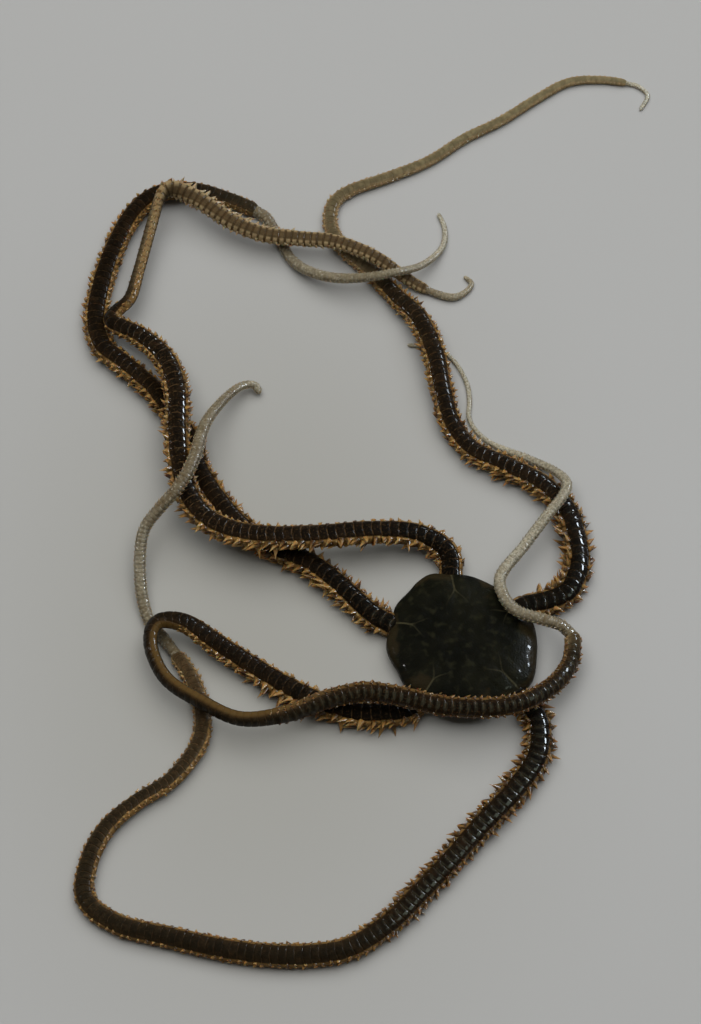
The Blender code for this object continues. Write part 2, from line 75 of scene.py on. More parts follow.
# The disc's edge: directions in degrees and how far out it stands there. Its sides are
# nearly straight and its corners lie beside the arms.
DISC_EDGE = [
    (0, 8.75), (16, 8.7), (33, 8.3), (52, 8.15), (69, 8.35), (88, 8.85), (101, 9.1), (113, 9.75),
    (124, 9.6), (135, 9.25), (150, 9.3), (163, 8.75), (180, 9.1), (190, 9.0), (204, 8.6),
    (216, 8.8), (236, 8.9), (256, 9.1), (276, 9.2), (298, 9.2), (316, 9.25), (327, 9.5),
    (336, 9.25), (348, 8.85),
]

# The side view of the skin from the middle of its underside out and over to the middle of
# the back, as shares of the radius and heights
DISC_PROFILE = [
    (0.02, 0.85), (0.38, 0.80), (0.46, 0.42), (0.58, 0.22), (0.74, 0.10), (0.88, 0.10),
    (0.965, 0.42), (0.997, 0.95), (1.0, 1.35), (0.985, 1.80), (0.94, 2.18), (0.88, 2.48),
    (0.78, 2.78), (0.68, 2.97), (0.52, 3.10), (0.36, 3.17), (0.18, 3.19), (0.01, 3.19),
]
DISC_ROWS = 190
DISC_COLUMNS = 300
RIM_SHARE = 0.42
RIM_SOFT = 0.06

# The plates by the arms: how far out and how far beside the arm's line they lie, and sizes
SHIELD_OUT = 0.72
SHIELD_BESIDE = 0.95
SHIELD_HALF = (2.3, 0.85)
SHIELD_RAISED = 0.07

# Under the disc, between two shares of the radius, the skin is drawn up beside each arm and
# hollow over it, and all of it stays a little off the floor
UNDER_FROM = (0.45, 0.6)
UNDER_TO = (0.9, 0.98)
FOLD_BESIDE = 1.75
FOLD_HALF = 0.3
FOLD_DEPTH = 0.45
ARM_HOLLOW = 0.5
FLOOR_GAP = 0.02
WRINKLE = 0.035

# The directions in which the rim is wettest, and how wet it is elsewhere
WET_SIDES = (-15, 195)
LEAST_WET = 0.1


def smooth_route(points, steps=12):
    """A Catmull-Rom curve through rows of numbers: each span is the cubic through its two ends
    whose slope at each end is half the way between that end's two neighbours."""
    rows = np.array(points, float)
    rows = np.vstack([2 * rows[0] - rows[1], rows, 2 * rows[-1] - rows[-2]])
    before, start, end, after = (rows[i : len(rows) - 3 + i, None] for i in range(4))
    t = (np.arange(steps) / steps)[None, :, None]
    linear = end - before
    square = 2 * before - 5 * start + 4 * end - after
    cube = 3 * start - before - 3 * end + after
    curve = start + 0.5 * (linear * t + square * t**2 + cube * t**3)
    return np.vstack([curve.reshape(-1, rows.shape[1]), rows[-2:-1]])


def resample(curve, count):
    """Rows of a curve, spaced evenly by the length of its first two columns."""
    step = np.hypot(*np.diff(curve[:, :2], axis=0).T)
    along = np.concatenate([[0], np.cumsum(step)])
    want = np.linspace(0, along[-1], count)
    return np.column_stack([np.interp(want, along, column) for column in curve.T])


def fade(value, low, high):
    """0 up to low, 1 from high, and the cubic 3t^2 - 2t^3 between them."""
    t = np.clip((value - low) / (high - low), 0, 1)
    return t * t * (3 - 2 * t)


def disc_edge(angle):
    """The disc's radius at angles in degrees, read off a smooth curve through DISC_EDGE."""
    low, high = DISC_EDGE[-1], DISC_EDGE[0]
    ring = [(low[0] - 360, low[1]), *DISC_EDGE, (high[0] + 360, high[1])]
    curve = smooth_route(ring)
    return np.interp(np.mod(angle, 360), curve[:, 0], curve[:, 1])


def beside_arm(x, y):
    """For each point the way out along the nearest arm's line and the way beside it, by
    turning x and y into each arm's frame and keeping the frame with the smallest angle."""
    turns = np.radians(list(ARM_DIRECTIONS.values()))[:, None, None]
    out = x * np.cos(turns) + y * np.sin(turns)
    beside = y * np.cos(turns) - x * np.sin(turns)
    nearest = np.argmin(np.abs(np.arctan2(beside, out)), axis=0)[None]
    return np.take_along_axis(out, nearest, 0)[0], np.take_along_axis(beside, nearest, 0)[0]


def disc_surface():
    """The profile turned about the upright axis, each point at its share of the edge's radius.
    The plates lift it inside soft ellipses, folds lift its underside beside the arms, and
    wrinkles are products of sines of the place. It is wet where it faces the wet sides."""
    profile = resample(smooth_route(DISC_PROFILE) * (DISC_R, 1), DISC_ROWS)
    share = profile[:, :1] / DISC_R
    height = profile[:, 1:]
    angle = np.linspace(0, 360, DISC_COLUMNS, endpoint=False)[None]
    radius = share * disc_edge(angle)
    x = radius * np.cos(np.radians(angle))
    y = radius * np.sin(np.radians(angle))
    out, beside = beside_arm(x, y)
    over = fade(np.arange(DISC_ROWS)[:, None] / DISC_ROWS, RIM_SHARE, RIM_SHARE + RIM_SOFT)
    inside = 1 - ((out - SHIELD_OUT * DISC_R) / SHIELD_HALF[0]) ** 2
    inside = inside - ((np.abs(beside) - SHIELD_BESIDE) / SHIELD_HALF[1]) ** 2
    plates = SHIELD_RAISED * fade(inside, -0.3, 0.7) * over
    wrinkles = np.sin(2.1 * x + 1.3 * np.sin(1.7 * y)) * np.sin(1.9 * y + 1.1 * np.sin(2.3 * x))
    folds = FOLD_DEPTH * np.exp(-(((np.abs(beside) - FOLD_BESIDE) / FOLD_HALF) ** 2))
    hollow = ARM_HOLLOW * (1 - fade(np.abs(beside), FOLD_BESIDE - 0.5, FOLD_BESIDE + 0.1))
    below = (1 - over) * fade(share, *UNDER_FROM) * (1 - fade(share, *UNDER_TO))
    z = height + plates + WRINKLE * wrinkles * (over - 0.3) + (folds + hollow) * below
    z = np.clip(z, FLOOR_GAP, DISC_TOP)
    facing = [np.cos(np.radians(angle - way)) for way in WET_SIDES]
    wet = np.maximum(fade(facing[0], 0.5, 0.9), 0.7 * fade(facing[1], 0.75, 0.95))
    wetness = LEAST_WET + (1 - LEAST_WET) * wet
    fields = {"out": out, "beside": beside, "rim": share, "over": over, "wetness": wetness}
    return np.stack([x, y, z], -1), fields


def place_object(name, data):
    """A new object that stands at the origin."""
    made = bpy.data.objects.new(name, data)
    bpy.context.collection.objects.link(made)
    return made


def build_tubes(name, points, fields, chart, material):
    """One object of closed tubes. points has an axis each for the tube, if there are several,
    the ring, the place round the ring and x, y, z. Neighbours are joined by four-sided faces,
    and each end is closed by triangles round the mean of its ring. chart turns tube, ring and
    place round the ring, which are arrays with one row a face, into the map in OFBake."""
    points = points.reshape(-1, *points.shape[-3:])
    tubes, rings, round_ = points.shape[:3]
    poles = points[:, [0, -1]].mean(axis=2)
    places = np.concatenate([points.reshape(-1, 3), poles.reshape(-1, 3)]) * MM
    tube, ring, place = (grid.reshape(-1, 1) for grid in np.meshgrid(
        np.arange(tubes), np.arange(rings - 1), np.arange(round_), indexing="ij"
    ))
    rings_of = ring + np.array([0, 0, 1, 1])
    places_of = place + np.array([0, 1, 1, 0])
    faces = ((tube * rings + rings_of) * round_ + places_of % round_).tolist()
    maps = [chart(tube, rings_of, places_of)]
    tube, place = (grid.reshape(-1, 1) for grid in np.meshgrid(
        np.arange(tubes), np.arange(round_), indexing="ij"
    ))
    for end, turn in ((0, [1, 0]), (1, [0, 1])):
        ring = end * (rings - 1)
        pole = tubes * rings * round_ + tube * 2 + end
        round_places = place + np.array(turn)
        edge = (tube * rings + ring) * round_ + round_places % round_
        faces += np.hstack([pole, edge]).tolist()
        three = np.hstack([place + 0.5, round_places])
        maps.append(chart(tube, ring + 0 * three, three))
    mesh = bpy.data.meshes.new(name)
    mesh.from_pydata(places, [], faces)
    mesh.shade_smooth()
    layer = mesh.uv_layers.new(name="OFBake")
    layer.uv.foreach_set("vector", np.concatenate([m.reshape(-1) for m in maps]))
    for key, value in fields.items():
        value = np.broadcast_to(value, points.shape[:3])
        ends = value[:, [0, -1]].mean(axis=2)
        values = np.concatenate([value.reshape(-1), ends.reshape(-1)]).astype(np.float32)
        mesh.attributes.new(key, "FLOAT", "POINT").data.foreach_set("value", values)
    mesh.materials.append(material)
    piece = place_object(name, mesh)
    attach(piece, "root")
    return piece


ROUND_MAP_HALF = 0.47


def round_maps(rings, round_, split):
    """A chart of two round maps side by side, each with the rings as circles round its
    middle: on the left the rings up to a share of them all, on the right the others."""
    def chart(tube, ring, place):
        share = ring / (rings - 1)
        second = share.mean(axis=1, keepdims=True) > split
        reach = np.where(second, (1 - share) / (1 - split), share / split)
        angle = 2 * np.pi * place / round_
        u = np.where(second, 0.75, 0.25) + ROUND_MAP_HALF / 2 * reach * np.cos(angle)
        return np.stack([u, 0.5 + ROUND_MAP_HALF * reach * np.sin(angle)], -1)
    return chart


class Value:
    """A number or a colour that a node gives. Sums written on it add nodes to its tree."""

    def __init__(self, socket):
        self.socket = socket

    def work(self, operation, *others):
        """One step of sums on this and on other numbers or values."""
        sockets = dict(enumerate((self, *others)))
        return add_node(self.socket.id_data, "ShaderNodeMath", 0, sockets, operation=operation)

    def __add__(self, other):
        return self.work("ADD", other)

    def __sub__(self, other):
        return self.work("SUBTRACT", other)

    def __mul__(self, other):
        return self.work("MULTIPLY", other)

    def __abs__(self):
        return self.work("ABSOLUTE")

    def rise(self, low, high, start=0.0, end=1.0):
        """A soft step from start to end while this goes from low to high."""
        tree = self.socket.id_data
        sockets = {"Value": self, "From Min": low, "From Max": high, "To Min": start, "To Max": end}
        return add_node(
            tree, "ShaderNodeMapRange", "Result", sockets, interpolation_type="SMOOTHSTEP"
        )

    def mix(self, first, second):
        """The first colour where this is 0, the second where it is 1, and blends in between."""
        sockets = {"Factor": self, 6: first, 7: second}
        return add_node(self.socket.id_data, "ShaderNodeMix", 2, sockets, data_type="RGBA")


def fill(socket, value):
    """Gives a socket a node's value, a colour in linear red, green and blue, or a number."""
    if isinstance(value, Value):
        socket.id_data.links.new(value.socket, socket)
    elif socket.type == "RGBA":
        socket.default_value = (*value, 1)
    else:
        socket.default_value = value


def add_node(tree, kind, output, sockets=None, **settings):
    """One output of a new node of a kind, its sockets filled with numbers or values."""
    node = tree.nodes.new(kind)
    for key, value in settings.items():
        setattr(node, key, value)
    for key, value in (sockets or {}).items():
        fill(node.inputs[key], value)
    return Value(node.outputs[output])


def read_field(tree, name):
    """The number that each point of the mesh holds under a name."""
    return add_node(tree, "ShaderNodeAttribute", "Fac", attribute_name=name)


def mottle(tree, scale, detail=2.0, rough=0.5):
    """Cloudy noise on the object's own coordinates."""
    place = add_node(tree, "ShaderNodeTexCoord", "Object")
    sockets = {"Vector": place, "Scale": scale, "Detail": detail, "Roughness": rough}
    return add_node(tree, "ShaderNodeTexNoise", "Fac", sockets)


def make_group(name, inputs, outputs, recipe):
    """A node group with named numbers in and out. recipe turns its tree and the values that
    come in into the values that go out."""
    group = bpy.data.node_groups.new(name, "ShaderNodeTree")
    for key in inputs:
        group.interface.new_socket(key, in_out="INPUT", socket_type="NodeSocketFloat")
    for key in outputs:
        group.interface.new_socket(key, in_out="OUTPUT", socket_type="NodeSocketFloat")
    given = group.nodes.new("NodeGroupInput").outputs
    ends = group.nodes.new("NodeGroupOutput").inputs
    results = recipe(group, *(Value(given[key]) for key in inputs))
    for key, value in zip(outputs, results):
        fill(ends[key], value)
    return group


def use_group(tree, group, *values):
    """The outputs of a group placed in a tree, its inputs filled in their order."""
    node = tree.nodes.new("ShaderNodeGroup")
    node.node_tree = group
    for socket, value in zip(node.inputs, values):
        fill(socket, value)
    return [Value(socket) for socket in node.outputs]


def wet_skin_recipe(tree, grain_scale, smooth, rough):
    """Cloudy noise gives how rough the water film is, between smooth and rough. Finer noise
    less the distance to the nearest grain is the height of grains and dimples."""
    film = mottle(tree, 700, 3).rise(0.35, 0.7, smooth, rough)
    place = add_node(tree, "ShaderNodeTexCoord", "Object")
    sockets = {"Vector": place, "Scale": grain_scale}
    grains = add_node(tree, "ShaderNodeTexVoronoi", "Distance", sockets)
    return film, mottle(tree, grain_scale, 3) - grains * 0.6


WET_SKIN = make_group(
    "wet skin", ("Grain Scale", "Smooth", "Rough"), ("Roughness", "Height"), wet_skin_recipe
)


def new_material(name):
    """An empty material and its node tree."""
    material = bpy.data.materials.new(name)
    material.use_nodes = True
    return material, material.node_tree


def set_shader(material, **sockets):
    """Fills sockets of the material's main shader, named with underscores for spaces."""
    shader = material.node_tree.nodes["Principled BSDF"]
    for key, value in sockets.items():
        fill(shader.inputs[key.replace("_", " ")], value)


def set_wet(material, colour, grain, film, relief, **sockets):
    """Gives the main shader a colour, the wet skin group's roughness between the two of film,
    and its height as a bump with the strength and the distance in metres of relief."""
    tree = material.node_tree
    rough, height = use_group(tree, WET_SKIN, grain, *film)
    bump = {"Height": height, "Strength": relief[0], "Distance": relief[1]}
    normal = add_node(tree, "ShaderNodeBump", "Normal", bump)
    set_shader(material, Base_Color=colour, Roughness=rough, Normal=normal, **sockets)


SKIN_BLACK = (0.0040, 0.0042, 0.0026)
SKIN_OLIVE = (0.020, 0.0195, 0.0095)
SKIN_MARGIN = (0.032, 0.023, 0.010)
PALE_LINE = (0.068, 0.061, 0.032)
UNDER_SKIN = (0.105, 0.085, 0.045)

# The pale line of an arm, by millimetres out from the disc's middle: where it shows, and
# where it forks and how far apart its two halves are in the end
LINE_SHOWS = (4.0, 8.0)
LINE_FORKS = (6.6, 4.2)
FORK_WIDE = 1.3
LINE_HALF = (0.05, 0.16)


def make_disc_material():
    """Olive black with soft lighter spots, a brown margin and a pale forked line at each arm."""
    material, tree = new_material("disc skin")
    out = read_field(tree, "out")
    spots = mottle(tree, 1000, 1).rise(0.52, 0.80, 0, 0.7)
    cloud = mottle(tree, 230, 3).rise(0.35, 0.75, 0, 0.35)
    margin = (read_field(tree, "rim") + mottle(tree, 300)).rise(1.38, 1.52, 0, 0.6)
    away = abs(abs(read_field(tree, "beside")) - out.rise(*LINE_FORKS, 0, FORK_WIDE))
    line = away.rise(*LINE_HALF, 0.8, 0) * out.rise(*LINE_SHOWS)
    line = line * mottle(tree, 900).rise(0.3, 0.6, 0.4, 1)
    back = cloud.mix(spots.mix(SKIN_BLACK, SKIN_OLIVE), SKIN_OLIVE)
    back = line.mix(margin.mix(back, SKIN_MARGIN), PALE_LINE)
    under = mottle(tree, 900, 3).rise(0.35, 0.7).mix(UNDER_SKIN, SKIN_MARGIN)
    wet = mottle(tree, 1700).rise(0.54, 0.62, 0.02, 0.8) * read_field(tree, "wetness")
    set_wet(
        material, read_field(tree, "over").mix(under, back), 4200, (0.35, 0.55), (0.4, 0.0001),
        Specular_IOR_Level=0.05, Coat_Weight=wet, Coat_Roughness=0.08, Coat_IOR=1.4,
        Subsurface_Weight=0.03, Subsurface_Scale=0.0006,
    )
    return material


points, fields = disc_surface()
chart = round_maps(DISC_ROWS, DISC_COLUMNS, RIM_SHARE)
disc = build_tubes("disc_skin", points, fields, chart, make_disc_material())
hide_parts("disc")

# The mouth plates
#
# A ring of five hard jaws under the disc's middle, tan and matt. Each points inwards between
# two slits, carries a round plate at its outer end, and has small blunt teeth along its edges
# and at its point. They are grown together with the skin round them.

MOUTH_R = 3.9
MOUTH_ROWS = 90
MOUTH_COLUMNS = 240
MOUTH_EDGE = 0.02

# Heights over the floor: of the drum's top, of the jaws, and the highest in the slits
MOUTH_TOP = 0.7
JAW_HEIGHT = 0.16
SLIT_HEIGHT = 0.66

# The jaws start out from the mouth's middle, and the slits run between them. Each has a soft
# edge of its own width.
JAW_START = 0.55
JAW_SOFT = 0.35
SLIT_HALF = 0.22
SLIT_SOFT = 0.22
SLIT_END = 3.1
SLIT_END_SOFT = 0.3
SLIT_DEPTH = 0.5
RIPPLE = 0.05
RIPPLE_TURNS = 5.5

SHIELD_PLATE_OUT = 2.75
SHIELD_PLATE_R = 0.72
SHIELD_PLATE_SOFT = 0.14
SHIELD_PLATE_PROUD = 0.11

TEETH_A_SIDE = 4
TOOTH_FROM = 0.2
TOOTH_BESIDE = 0.12
TOOTH_PITCH = 0.42
TOOTH_HEIGHT = 0.2
TOOTH_HALF = (0.17, 0.13, 0.16)
TOOTH_RINGS = 6
TOOTH_SIDES = 8

order = sorted(ARM_DIRECTIONS.values())
JAW_DIRECTIONS = [a + ((b - a) % 360) / 2 for a, b in zip(order, order[1:] + order[:1])]


def mouth_surface():
    """A low drum: its flat top lies in the disc, and its underside is a sheet of heights over a
    polar grid, rising along the slits and in the mouth's middle, with a round plate standing
    down on each jaw and a ripple that is a cosine of the radius."""
    half = MOUTH_ROWS // 2
    rise = np.linspace(MOUTH_EDGE, MOUTH_R, half)
    reach = np.concatenate([rise, np.linspace(MOUTH_R, MOUTH_EDGE, half)])
    under = np.arange(MOUTH_ROWS)[:, None] < half
    angle = np.radians(np.linspace(0, 360, MOUTH_COLUMNS, endpoint=False))[None]
    x = reach[:, None] * np.cos(angle)
    y = reach[:, None] * np.sin(angle)
    out, beside = beside_arm(x, y)
    radius = np.hypot(x, y)
    slit = 1 - fade(np.abs(beside), SLIT_HALF, SLIT_HALF + SLIT_SOFT)
    slit = slit * (1 - fade(out, SLIT_END - SLIT_END_SOFT, SLIT_END))
    middle = 1 - fade(radius, JAW_START, JAW_START + JAW_SOFT)
    deep = np.maximum(slit, middle)
    jaws = np.array([[math.radians(a)] for a in JAW_DIRECTIONS])[:, :, None]
    away = np.hypot(
        x - SHIELD_PLATE_OUT * np.cos(jaws), y - SHIELD_PLATE_OUT * np.sin(jaws)
    ).min(axis=0)
    plate = 1 - fade(away, SHIELD_PLATE_R - SHIELD_PLATE_SOFT, SHIELD_PLATE_R)
    z = JAW_HEIGHT + SLIT_DEPTH * deep - SHIELD_PLATE_PROUD * plate
    ripple = RIPPLE * np.cos(RIPPLE_TURNS * radius)
    z = z - ripple * (1 - slit) * (1 - plate) * (1 - middle)
    z = np.where(under, np.clip(z, FLOOR_GAP, SLIT_HEIGHT), MOUTH_TOP)
    return np.stack([x, y, z], -1), {"plate": plate, "deep": deep}


def teeth_surface():
    """Half buried beads, each an ellipsoid of rings about the upright axis, set in a row along
    both edges of every jaw and one at its point."""
    jaw, side, step = (grid.reshape(-1) for grid in np.meshgrid(
        np.arange(len(order)), [-1, 1], np.arange(TEETH_A_SIDE + 1), indexing="ij"
    ))
    arm = np.radians(np.array(order))[(jaw + (side > 0)) % len(order)]
    out = JAW_START + TOOTH_FROM + TOOTH_PITCH * step
    beside = -side * (SLIT_HALF + TOOTH_BESIDE)
    x = out * np.cos(arm) - beside * np.sin(arm)
    y = out * np.sin(arm) + beside * np.cos(arm)
    middle = np.stack([x, y, np.full(len(x), TOOTH_HEIGHT)], -1)[:, None, None]
    up = np.radians(np.linspace(-80, 80, TOOTH_RINGS)[:, None])
    turn = np.radians(np.linspace(0, 360, TOOTH_SIDES, endpoint=False)[None])
    bead = np.stack([
        TOOTH_HALF[0] * np.cos(up) * np.cos(turn),
        TOOTH_HALF[1] * np.cos(up) * np.sin(turn),
        TOOTH_HALF[2] * np.sin(up) + 0 * turn,
    ], -1)
    return middle + bead[None]


def tooth_chart(tube, ring, place):
    """A patch for each tooth in rows of ten, its rings up and its places across."""
    u = (tube % 10 + 0.1 + 0.8 * place / TOOTH_SIDES) / 10
    v = (tube // 10 + 0.1 + 0.8 * ring / (TOOTH_RINGS - 1)) / 10
    return np.stack(np.broadcast_arrays(u, v), -1)


JAW_TAN = (0.30, 0.22, 0.12)
JAW_BROWN = (0.10, 0.06, 0.03)


def make_mouth_material():
    """Tan plates with a fine grain, brown in the slits and paler on the round plates."""
    material, tree = new_material("mouth plates")
    colour = mottle(tree, 1500, 3).rise(0.35, 0.7).mix(JAW_TAN, JAW_BROWN)
    colour = (read_field(tree, "plate") * 0.7).mix(colour, JAW_TAN)
    colour = read_field(tree, "deep").mix(colour, SKIN_BLACK)
    set_wet(
        material, colour, 6000, (0.4, 0.6), (0.4, 0.00008),
        Subsurface_Weight=0.1, Subsurface_Scale=0.0006,
    )
    return material


mouth_material = make_mouth_material()
points, fields = mouth_surface()
chart = round_maps(MOUTH_ROWS, MOUTH_COLUMNS, 0.5)
mouth = build_tubes("mouth_plates", points, fields, chart, mouth_material)
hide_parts("mouth_frame")
teeth = build_tubes("teeth", teeth_surface(), {}, tooth_chart, mouth_material)

# The skins of the five dark arms
#
# An arm is a row of like segments, each a hard ring: a black-brown plate on the back, an
# ochre one on each flank and a dark one below, every ring lapping a little over the next.
# The water on them is glossy. One skin covers an arm from the mouth to where it broke off.

TRUNK_HEIGHT = 0.75
TIP_HEIGHT = 0.85
FULL_WIDTH = 2.7
ROOT_INSIDE = 4.2

# A point of a route holds x, y, the height of the underside over the floor, the roll in
# degrees (positive tips the back to the left of the run) and the width.
TRUNKS = {
    "a": [
        (-1.4, 8.4, 0, 5, 2.7), (-1.5, 11.3, 0.2, 8, 2.7), (-3.1, 13, 0.7, 5, 2.7),
        (-6.2, 14, 1.3, -5, 2.7), (-11, 13.9, 1.9, -8, 2.7), (-16.4, 13.2, 2.4, -8, 2.7),
        (-22.3, 12.9, 2.6, -8, 2.7), (-27.1, 13.6, 2.5, -5, 2.7), (-30.8, 15.7, 2.4, 0, 2.7),
        (-33, 19.3, 2.4, 0, 2.7), (-33.9, 23.8, 2.5, 0, 2.7), (-34.2, 27.8, 2.6, 0, 2.7),
        (-34.3, 32.4, 2.45, 0, 2.7), (-35.6, 36.9, 1.8, 0, 2.6), (-38.5, 40.3, 1.4, 0, 2.4),
        (-41.2, 41.8, 1.6, 10, 2.2), (-42.4, 42.8, 1.7, 30, 2.1), (-41.8, 44, 1.7, 40, 1.95),
        (-40.2, 45.8, 1.8, 50, 1.85), (-39.2, 49.9, 1.5, 62, 1.75), (-37.7, 56.2, 1.9, 65, 1.75),
        (-36.7, 59.5, 2.5, 90, 1.85), (-35.3, 60.6, 2.6, 135, 1.95), (-32.3, 59.4, 2.2, 168, 1.95),
        (-28.1, 56.5, 1.8, 176, 1.9), (-24.1, 54.7, 1.7, 180, 1.8), (-19.5, 54.1, 1.7, 180, 1.8),
        (-15.1, 53.4, 2.1, 180, 1.7), (-10.5, 51.4, 2.2, 180, 1.6), (-6.4, 49.2, 0.5, 180, 1.4),
        (-3.6, 47.8, 0, 180, 1.2),
    ],
    "b": [
        (-8.2, 2.3, 0, 10, 2.8), (-10.9, 3.9, 0, 2, 2.8), (-14.5, 7.4, 0, -8, 2.8),
        (-17.9, 10.3, 0, -8, 2.8), (-22, 12.4, 0, -3, 2.7), (-26.1, 15.2, 0, 0, 2.7),
        (-29.2, 19, 0, 0, 2.6), (-31.5, 23, 0, 5, 2.6), (-32.7, 27, 0, 5, 2.6),
        (-34.7, 30.4, 0, 0, 2.6), (-37.3, 34, 0, -10, 2.6), (-40.7, 37.2, 0, -12, 2.6),
        (-43.6, 40, 0, -5, 2.6), (-44.4, 43.8, 0, 0, 2.6), (-43.6, 49.1, 0, 5, 2.6),
        (-41.9, 54.6, 0, 10, 2.5), (-39.8, 58.8, 0, 10, 2.4), (-36.9, 61.3, 0, 10, 2.3),
        (-32.8, 61.8, 0, 10, 2.1), (-28.5, 60.5, 0, 10, 2.0), (-24.7, 58.7, 0, 10, 1.9),
    ],
    "c": [
        (7.3, 4.9, 0, 0, 2.8), (10.5, 5.7, 0, -5, 2.8), (12.7, 7.2, 0, -12, 2.8),
        (13.8, 10.6, 0, -16, 2.8), (13.5, 14.3, 0, -16, 2.8), (12.4, 17.7, 0, -12, 2.8),
        (9.8, 21, 0, -8, 2.6), (5.7, 23.4, 0, -5, 2.6), (1.4, 25.7, 0, -8, 2.5),
        (-1.1, 29.1, 0.2, -8, 2.5), (-2.2, 33.3, 0.6, -8, 2.5), (-3.1, 38.2, 0.9, -5, 2.6),
        (-4.9, 43.2, 0.6, 0, 2.5), (-7.7, 46.7, 0.1, 0, 2.3), (-10.8, 50.4, 0, 0, 2.0),
        (-14, 53.4, 0, 0, 1.8), (-15.7, 56.5, 0, 0, 1.7), (-15.5, 59.8, 0, 0, 1.6),
        (-13.3, 61.9, 0, 0, 1.5), (-8.4, 63.9, 0, 0, 1.4), (-3.5, 66.2, 0, 0, 1.3),
        (0.9, 69.4, 0, 0, 1.25), (5.4, 71.9, 0, 0, 1.2), (9.9, 75.1, 0, 0, 1.15),
        (13.9, 77.5, 0, 0, 1.1), (17.9, 77.9, 0, 0, 1.0), (21.4, 77.4, 0, 0, 0.9),
    ],
    "d": [
        (5.9, -6.1, 0, 8, 2.8), (8.1, -8.8, 0, 8, 2.8), (8.8, -11.1, 0, 8, 2.8),
        (8.3, -14.9, 0, 8, 2.8), (5.5, -19.1, 0, 10, 2.8), (2, -23, 0, 10, 2.8),
        (-1.4, -27.1, 0, 10, 2.7), (-5.2, -31.4, 0, 10, 2.7), (-8.9, -35.3, 0, 12, 2.7),
        (-13.9, -38.5, 0, 12, 2.7), (-20.3, -39.3, 0, 13, 2.7), (-27.2, -38.6, 0, 13, 2.6),
        (-34.1, -37, 0, 13, 2.5), (-40.1, -35.4, 0, 12, 2.4), (-43.8, -32.4, 0, 10, 2.3),
        (-43.8, -28.1, 0, 12, 2.2), (-41.8, -23.5, 0, 15, 2.1), (-38.3, -20.1, 0, 20, 2.0),
        (-34.2, -17.2, 0, 20, 2.0), (-31.1, -12.7, 0, 15, 2.0), (-30.8, -8.3, 0, 10, 1.9),
        (-32.1, -4.2, 0, 5, 1.8), (-34.2, -0.8, 0, 5, 1.7),
    ],
    "e": [
        (-4.7, -6.9, 0, 0, 2.7), (-6.4, -8.4, 0, 0, 2.7), (-9.3, -9, 0, 0, 2.7),
        (-12.7, -8.9, 0, 0, 2.7), (-16.9, -7.6, 0, 0, 2.7), (-21.1, -5.4, 0, 0, 2.7),
        (-25.2, -2.8, 0.2, 0, 2.6), (-29.4, -0.1, 0.9, 0, 2.5), (-32.8, 2, 1.7, -14, 2.4),
        (-35.5, 2.3, 2.1, -32, 2.2), (-36.8, 1, 2.1, -56, 2.1), (-36.7, -1.8, 1.9, -72, 2.0),
        (-34.8, -5.4, 1.9, -78, 2.0), (-30.7, -8.4, 2.3, -82, 2.0), (-26.2, -10.5, 2.3, -80, 2.0),
        (-21, -10, 2.4, -64, 2.1), (-16.3, -8.3, 2.7, -44, 2.2), (-11.6, -7.3, 2.8, -32, 2.3),
        (-7, -8.1, 3, -26, 2.3), (-2.3, -9.3, 3.2, -24, 2.3), (3, -9.5, 3.2, -24, 2.3),
        (7, -8.6, 3, -26, 2.2), (10.5, -6.1, 2.2, -28, 2.1), (12.5, -3, 1.6, -28, 2.0),
        (12.9, -0.2, 2, -20, 1.9), (12.4, 0.8, 2.2, -15, 1.8),
    ],
}
